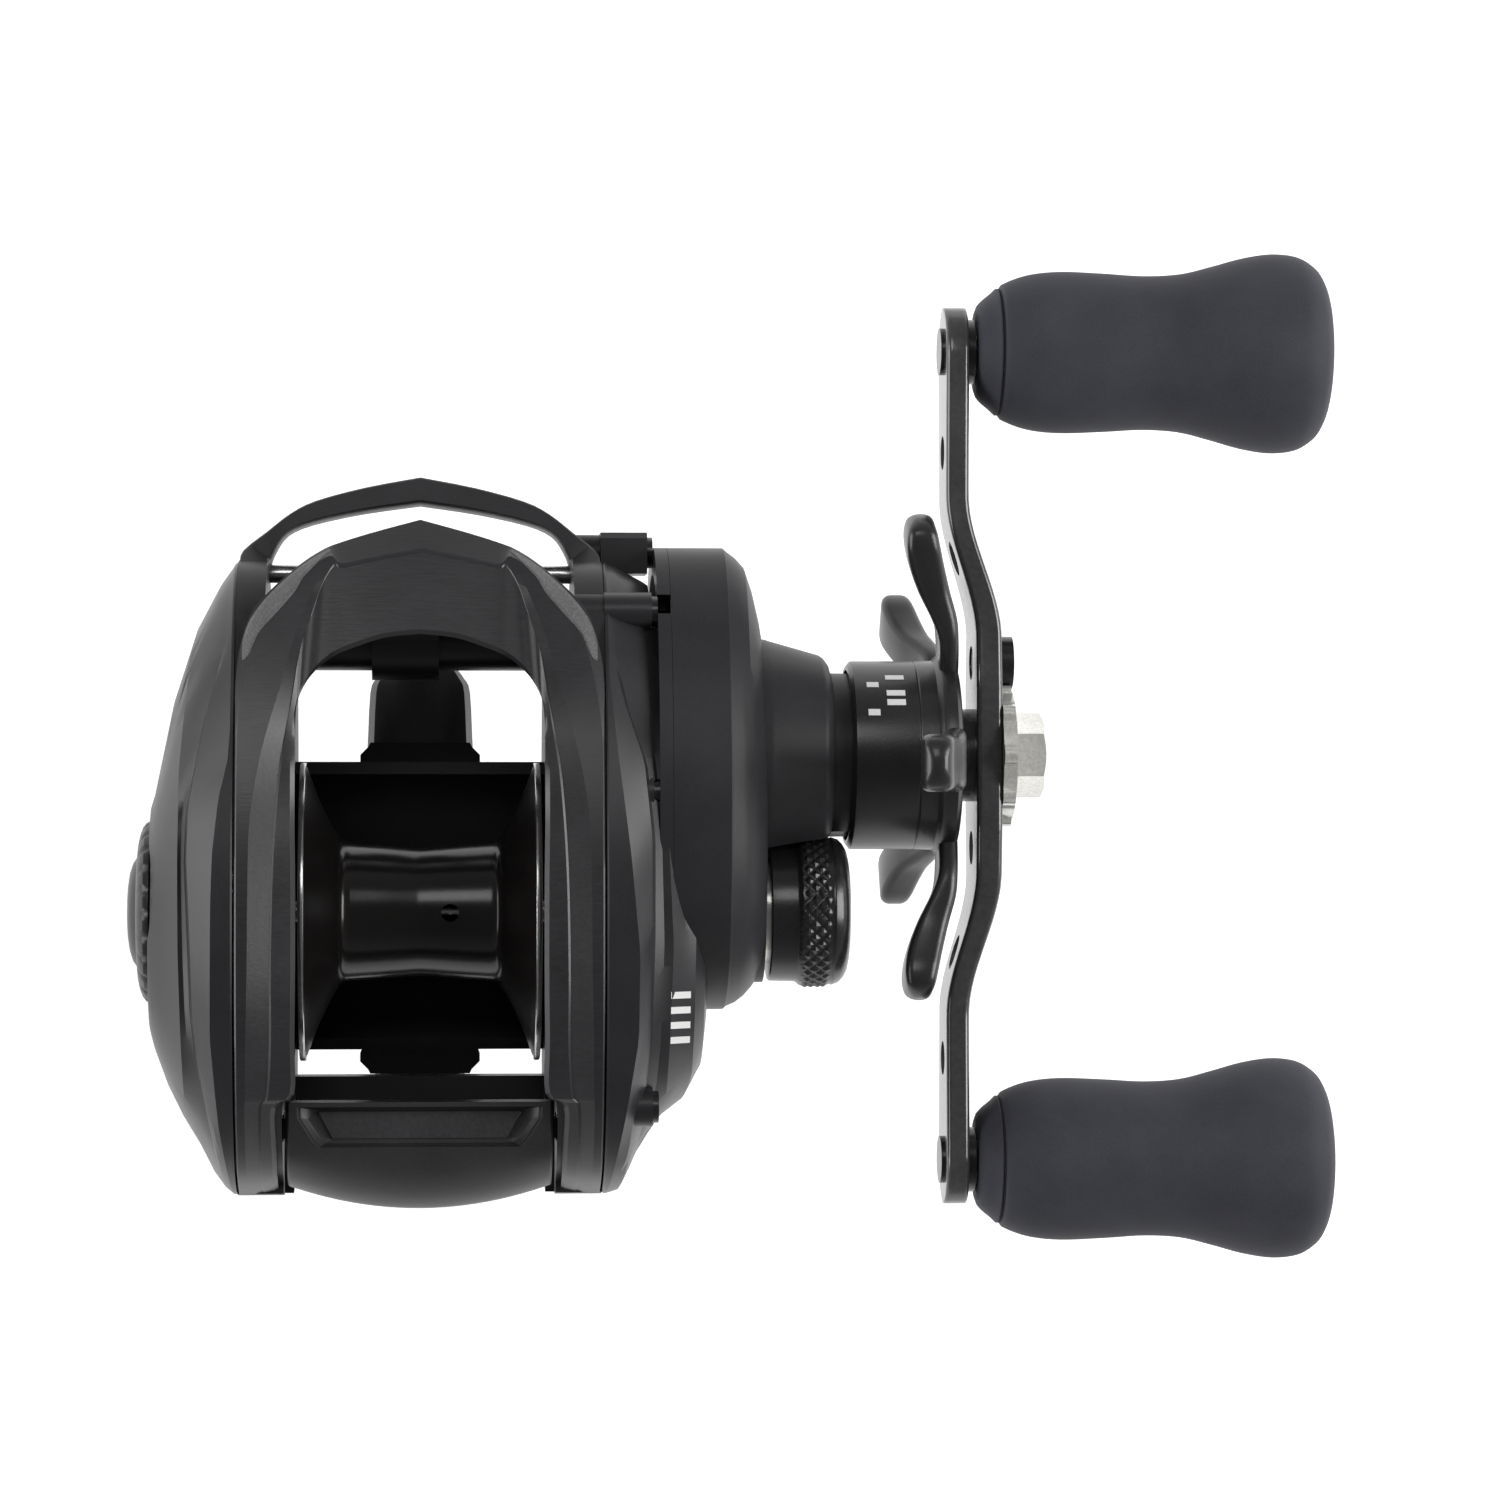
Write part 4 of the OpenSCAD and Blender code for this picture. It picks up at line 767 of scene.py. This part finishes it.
KNOB_PROFILE = [(75.4, 3.6), (75.42, 5.6), (75.7, 6.35), (76.3, 7.0), (77.4, 7.9), (79, 9.2), (82.5, 10.5),
                (87, 11), (93, 10.8), (98.5, 10.5), (103.5, 10.8), (108, 11.9), (112, 13), (116, 13.6),
                (119.4, 13.25), (121.6, 12.0), (122.7, 10.6), (123.4, 8.6), (123.75, 5.0), (123.9, 0.8)]


GROOVE_X = 78.6          # a fine parting groove behind the collar


def knob_profile():
    """The grip's outline, rounded between its points, with the groove in it."""
    body = [(x, r - 0.28 * math.exp(-((x - GROOVE_X) / 0.22) ** 2)) for x, r in smooth(KNOB_PROFILE[2:], 5)]
    cuts = [(GROOVE_X + d, float(between(GROOVE_X + d, body)) - c)
            for d, c in ((-0.25, 0.02), (-0.1, 0.22), (0.1, 0.22), (0.25, 0.02))]
    return sorted(KNOB_PROFILE[:2] + body + cuts)


def knobs():
    """Two waisted grips, bored for their posts."""
    profile = knob_profile()
    for name, s, node in (("grip_front", 1, "knob_front"), ("grip_rear", -1, "knob_rear")):
        centre = (DRIVE[0] + s * KNOB_Y, DRIVE[1])
        obj = make(name, Shape().turn(profile, centre, 128))
        carve(obj, Shape().rod(70, 116, 3.5, centre))
        finish_piece(obj, node, "knob", replaces=[node], angle=40)


# ---------- yoke springs ----------

SPRING = (31.42, 36.32, 7.0, 1.7, 0.22)      # ends in x, turns, coil radius and wire radius
YOKE_POSTS = ((0.0, 18.0), (0.0, 36.0))      # y and z of each post


def yoke_springs():
    """Two coil springs that push the clutch yoke home."""
    x0, x1, turns, coil, wire = SPRING
    springs = Shape()
    for y, z in YOKE_POSTS:
        rows = []
        for a in np.linspace(0, 2 * math.pi * turns, 200):
            along = x0 + wire + (x1 - x0 - 2 * wire) * a / (2 * math.pi * turns)
            ring = []
            for k in range(8):
                b = 2 * math.pi * k / 8
                r = coil + wire * math.cos(b)
                ring.append((along + wire * math.sin(b), y + r * math.cos(a), z + r * math.sin(a)))
            rows.append(ring)
        springs.skin(rows)
    obj = make("clutch_coils", springs)
    finish_piece(obj, "clutch_yoke", "steel", replaces=["yoke_springs"], angle=50)
    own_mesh(obj)


# ---------- frame and foot ----------

WALL_X, FRAME_X = 16.9, 24.26            # inner and outer face of a wall
NOSE_X = 20.4                            # inner face of a wall ahead of the spool
CRADLE_X, CRADLE_IN, CRADLE_OUT = 17.1, 20.8, 22.7       # half width and radii of the tray under the spool
GUIDE_ROD = (45.7, 20.5)                 # y and z of the guide rod
HOOD_UNDER = smooth([(-35.7, 31), (-31.9, 39), (-24, 44.8), (-12.5, 47.9), (0, 48.5), (12.5, 47.6),
                     (25.2, 44.9), (35, 41.9), (44, 38.5), (52.4, 34.8)], 6)
# Half of the front guard from the wall to its peak: (x, y) on its outer and inner edge.
GUARD = [((24.0, 36.0), (21.9, 35.0)), ((24.0, 41.8), (21.9, 41.6)), ((24.1, 46.0), (20.9, 44.4)),
         ((23.7, 48.5), (20.2, 46.6)), ((20.6, 51.1), (19.4, 48.6)), ((17.4, 53.6), (17.8, 50.8)),
         ((14.0, 55.3), (14.4, 52.3)), ((7.4, 57.1), (7.6, 53.8)), ((0, 58.5), (0, 54.9))]
# Its section: share of the way across and z, first along the top, then round the inner side and underneath.
GUARD_TOP = [(0.0, 26.2), (0.06, 26.5), (0.84, 26.7), (0.93, 26.3), (1.0, 25.3)]
GUARD_REST = [(1.0, 20.4), (0.85, 19.5), (0.15, 19.5)]
# Half plan of the pedestal over the foot, flared where it meets the cradle.
PEDESTAL = [(7.0, 0), (7.0, 10), (7.1, 15), (7.4, 18), (8.3, 20.2), (8.3, 21.3), (7.2, 22.4), (6.9, 23.0)]


def under_hood(y):
    """Height of the hood's underside."""
    return float(np.interp(y, HOOD_UNDER[:, 0], HOOD_UNDER[:, 1], left=31))


def front_guard():
    """Rows across the guard. Its bases climb the walls' front edges, under the hood."""
    outer, inner = (smooth([pair[k] for pair in GUARD], 3) for k in (0, 1))
    rows = []
    for a, b in zip(outer, inner):
        climb = 6.5 * float(np.clip((49.5 - a[1]) / 5, 0, 1))
        lift = max(0.0, min(climb, under_hood(a[1]) - 27.4))
        section = [(0.0, 19.8)] + [(t, z + lift) for t, z in GUARD_TOP] + GUARD_REST
        rows.append([(*(a + (b - a) * t), z) for t, z in section])
    mirror = [[(-x, y, z) for x, y, z in row] for row in rows[-2::-1]]
    return rows + mirror


def box_x(x0, x1, y0, y1, z0, z1):
    """Square-edged block."""
    return Shape().along_x([(y0, z0), (y1, z0), (y1, z1), (y0, z1)], x0, x1)


def frame_walls():
    """Two walls, recessed on their outer sides, with the screw posts on the right."""
    outline = [(y, min(z, under_hood(y) - 0.08)) for y, z in SIDE_LOOP]
    recess = [(min(y, 40.9), z) for _, y, z in cover_ring(PALM_SECTIONS, SEAM_X, inset=4.2)]
    obj = make("frame_casting", Shape().along_x(outline, WALL_X, FRAME_X))
    carve(obj, Shape().along_x(recess, 19.9, 26))
    carve(obj, Shape().along_x(outline, -FRAME_X, -WALL_X), "UNION")
    carve(obj, Shape().along_x(recess, -26, -19.9))
    for y, z in SCREW_PLACES:
        carve(obj, Shape().rod(19.8, FRAME_X, 2.4, (y, z)), "UNION")
    carve(obj, box_x(-NOSE_X, NOSE_X, 41, 49, -5, 60))
    return obj


def frame_bridge(obj):
    """What joins the walls: cradle, pedestal, rear crossbar and front guard."""
    section = [(-CRADLE_X, CRADLE_IN), (CRADLE_X, CRADLE_IN), (CRADLE_X, CRADLE_OUT),
               (-CRADLE_X, CRADLE_OUT)]
    cradle = []
    for degrees in np.linspace(-57.5, 63, 49):
        a = math.radians(degrees)
        cradle.append([(x, SPOOL[0] + r * math.sin(a), SPOOL[1] - r * math.cos(a)) for x, r in section])
    carve(obj, Shape().skin(cradle), "UNION")
    half = [(x, -y) for x, y in PEDESTAL[:0:-1]] + PEDESTAL
    carve(obj, Shape().plan(half + [(-x, y) for x, y in reversed(half)], 2.0, 5.4), "UNION")
    carve(obj, box_x(-CRADLE_X, CRADLE_X, -27, -22.6, 13.5, 18.5), "UNION")
    carve(obj, Shape().skin(front_guard()), "UNION")


def frame_openings(obj):
    """Bores for the spool, shafts, guide rod and screws, and the thumb bar's slots and notches."""
    carve(obj, Shape().rod(-30, -WALL_X + 0.5, 20.4, SPOOL, 128))
    carve(obj, Shape().rod(WALL_X - 0.5, 30, 5, SPOOL))
    carve(obj, Shape().rod(WALL_X + 0.8, 30, BEARING_SEAT, DRIVE))
    carve(obj, Shape().rod(-30, 30, 4, WORM))
    carve(obj, Shape().rod(-21.6, 21.6, 1.25, GUIDE_ROD))
    for s in (-1, 1):
        slot = sorted((s * (WALL_X - 0.5), s * NOSE_X))
        carve(obj, box_x(*slot, -30.3, -26.7, 28.7, 37.8))
        notch = sorted((s * 15, s * 18.1))
        carve(obj, box_x(*notch, -50, -24.2, 24.4, 60))
    for y, z in SCREW_PLACES:
        carve(obj, Shape().rod(20.6, 31, 1, (y, z), 24))


def frame_body():
    obj = frame_walls()
    frame_bridge(obj)
    frame_openings(obj)
    finish_piece(obj, "frame", "body", finish="frame", replaces=["frame"], angle=28, bevel=0.22)


# Half plan of the foot, rear to front, as (y, half width).
FOOT_HALF = [(-33, 0.6), (-32.6, 2.4), (-31.6, 3.9), (-30, 4.9), (-28, 5.3), (-22, 6.6), (-18, 7.6),
             (-14, 7.9), (14, 7.9), (18, 7.8), (22, 7.4), (30, 7.0), (32, 6.2), (33.6, 4.9),
             (34.6, 3.4), (35.1, 1.6), (35.2, 0.6)]


def reel_foot():
    """Long thin foot with a crowned top and a hollowed underside."""
    rows = []
    for y, half in smooth(FOOT_HALF, 3):
        top = between(y, [(-33, 0.9), (-20, 2.3), (20, 2.3), (35.2, 1.0)])
        rim = between(half, [(0.5, 0.3), (3, -0.1), (7.4, -1.35)])
        under = [(1, rim + 0.1), (0.97, rim - 0.15), (0.87, rim - 0.2), (0.36, 0.0)]
        over = [(0.88, top * 0.45), (0.66, top * 0.83), (0.4, top)]
        row = under + [(-t, z) for t, z in under[::-1]] + [(-t, z) for t, z in over] + over[::-1]
        rows.append([(half * t, y, z) for t, z in row])
    obj = make("foot_plate", Shape().skin(rows))
    for y in (-9, 9):
        for r, top in ((1.1, 5), (2.2, 1.0)):
            carve(obj, Shape().plan([(x, v) for v, x in circle(r, (y, 0), 32)], -3, top))
    finish_piece(obj, "frame", "foot", replaces=["reel_foot"], angle=34, bevel=0.12)


# ---------- marks ----------

def lay_on(obj, outline, thickness):
    """Lower and upper row of a thin printed mark over an object's upper surface: outline is (x, y) points."""
    target = obj.evaluated_get(bpy.context.evaluated_depsgraph_get())
    top = []
    for x, y in outline:
        hit, place, _, _ = target.ray_cast(Vector((x * MM, y * MM, 0.2)), Vector((0, 0, -1)))
        top.append((x, y, place.z / MM if hit else 30.0))
    return [[(x, y, z + lift) for x, y, z in top] for lift in (-0.15, thickness)]


def marks():
    """Plain pale dashes where the real reel is printed: on the right cover's shoulder and the star's hub."""
    cover = bpy.data.objects["gear_cover_shell"]
    dashes = Shape()
    for k in range(4):
        y = -10.2 - 2.0 * k
        outline = [(32.9, y), (34.2, y), (35.6, y), (35.6, y - 0.9), (34.2, y - 0.9), (32.9, y - 0.9)]
        dashes.skin(lay_on(cover, outline, 0.05))
    finish_piece(make("cover_dashes", dashes), "frame", "body", finish="mark", angle=40)
    ticks = Shape()
    for k, (x0, x1) in enumerate(((59.8, 61.4), (62.4, 64.9), (62.4, 64.9), (59.8, 61.4), (62.4, 64.9))):
        a0 = math.radians(24 + 7.0 * k)
        rows = []
        for x in (x0, x1):
            arc = [(a0 + math.radians(4.2) * t, HUB_R + lift) for lift in (-0.06, 0.08) for t in (0, 0.5, 1)]
            arc = arc[:3] + arc[:2:-1]
            rows.append([(x, DRIVE[0] + r * math.sin(a), DRIVE[1] + r * math.cos(a)) for a, r in arc])
        ticks.skin(rows)
    finish_piece(make("star_ticks", ticks), "drag_star", "star", finish="mark", angle=40)


# ---------- what the CAD already shapes ----------

def soften_cad_nodes():
    """Nodes that keep their CAD shape get smooth shading, and the listed ones a small round on their edges.
    """
    rounds = {"line_guide": 0.3, "worm_tube": 0.15, "handle_nut": 0.12, "nut_retainer": 0.12, "star_nut": 0.1,
              "handle_washer": 0.15, "tension_boss": 0.1, "case_screws": 0.1, "retainer_screw": 0.12,
              "knob_posts": 0.1, "pawl_cap": 0.1}
    for name, node in nodes.items():
        if not node.hide_render:
            soften(node, 30, rounds.get(name, 0.0))


palm_side_cover()
brake_dial()
gear_side_cover()
gear_case()
frame_body()
reel_foot()
top_cover()
cover_inlays()
spool()
thumb_bar()
tension_cap()
drag_star()
handle_arm()
knobs()
yoke_springs()
marks()
soften_cad_nodes()


# ---------- camera, light and floor ----------

def aim(obj, target, up=(0, 1, 0)):
    """Points an object's -Z axis at a target with up towards the top of the view."""
    back = (obj.location - Vector(target)).normalized()
    right = Vector(up).cross(back).normalized()
    turn = Matrix((right, back.cross(right), back)).transposed()
    obj.rotation_euler = turn.to_euler()


camera_data = bpy.data.cameras.new("camera")
camera_data.lens = 115.1
camera_data.sensor_width = 36.0
camera_data.clip_end = 20.0
camera = bpy.data.objects.new("camera", camera_data)
bpy.context.scene.collection.objects.link(camera)
camera.location = (0.0, 0.01499, 0.674)
aim(camera, (0.0447, 0.0218, 0.024))
bpy.context.scene.camera = camera


def softbox(name, location, target, width, height, power):
    """Rectangular area light that the camera doesn't see."""
    data = bpy.data.lights.new(name, "AREA")
    data.shape = "RECTANGLE"
    data.size = width
    data.size_y = height
    data.energy = power
    lamp = bpy.data.objects.new(name, data)
    bpy.context.scene.collection.objects.link(lamp)
    lamp.location = location
    lamp.visible_camera = False
    aim(lamp, target)


softbox("left_softbox", (-0.85, 0.02, 0.32), (0.0, 0.02, 0.02), 0.45, 0.8, 6.0)
softbox("right_softbox", (0.82, 0.12, 0.5), (0.03, 0.02, 0.02), 0.5, 0.55, 7.5)
softbox("top_softbox", (-0.1, 0.5, 0.95), (0.03, 0.02, 0.02), 0.4, 0.3, 1.6)

# Grey of the surroundings from straight down, 0, to straight up, 1.
SKY = [(0.49, 0.2), (0.51, 0.62), (0.58, 0.42), (0.9, 0.13)]


def studio_world():
    """Grey surroundings, brightest a little above the floor's edge and darker overhead."""
    world = bpy.data.worlds.new("studio")
    world.use_nodes = True
    bpy.context.scene.world = world
    tree = world.node_tree
    direction = add_node(tree, "TexCoord", {}).outputs["Generated"]
    split = add_node(tree, "SeparateXYZ", {}, [(direction, 0)])
    height = add_node(tree, "MapRange", {"From Min": -1.0}, [(split.outputs["Z"], "Value")])
    sky = add_node(tree, "ValToRGB", {}, [(height.outputs["Result"], "Fac")])
    stops = sky.color_ramp.elements
    for place, _ in SKY[2:]:
        stops.new(place)
    for stop, (place, level) in zip(stops, SKY):
        stop.position = place
        stop.color = (level, level, level, 1)
    background = tree.nodes["Background"]
    background.inputs["Strength"].default_value = 1.0
    tree.links.new(sky.outputs["Color"], background.inputs["Color"])


FLOOR_SIZE = 6.0
FLOOR_Z = -0.045         # clear of a knob at its lowest
FLOOR_GLOW = 0.48


def pale_floor():
    """Level floor that gives off some light, as a lit studio table does."""
    corners = [(x * FLOOR_SIZE, y * FLOOR_SIZE, FLOOR_Z) for x, y in ((-1, -1), (1, -1), (1, 1), (-1, 1))]
    mesh = bpy.data.meshes.new("floor")
    mesh.from_pydata(corners, [], [(0, 1, 2, 3)])
    floor = bpy.data.objects.new("floor", mesh)
    bpy.context.scene.collection.objects.link(floor)
    pale = look("pale_floor", (0.92, 0.92, 0.92), 0.8, grain=4.0, bump=0.0, tint=0.01)
    shader = pale.node_tree.nodes["Principled BSDF"]
    shader.inputs["Emission Color"].default_value = (1, 1, 1, 1)
    shader.inputs["Emission Strength"].default_value = FLOOR_GLOW
    mesh.materials.append(pale)


studio_world()
pale_floor()
bpy.context.scene.view_settings.view_transform = "Standard"
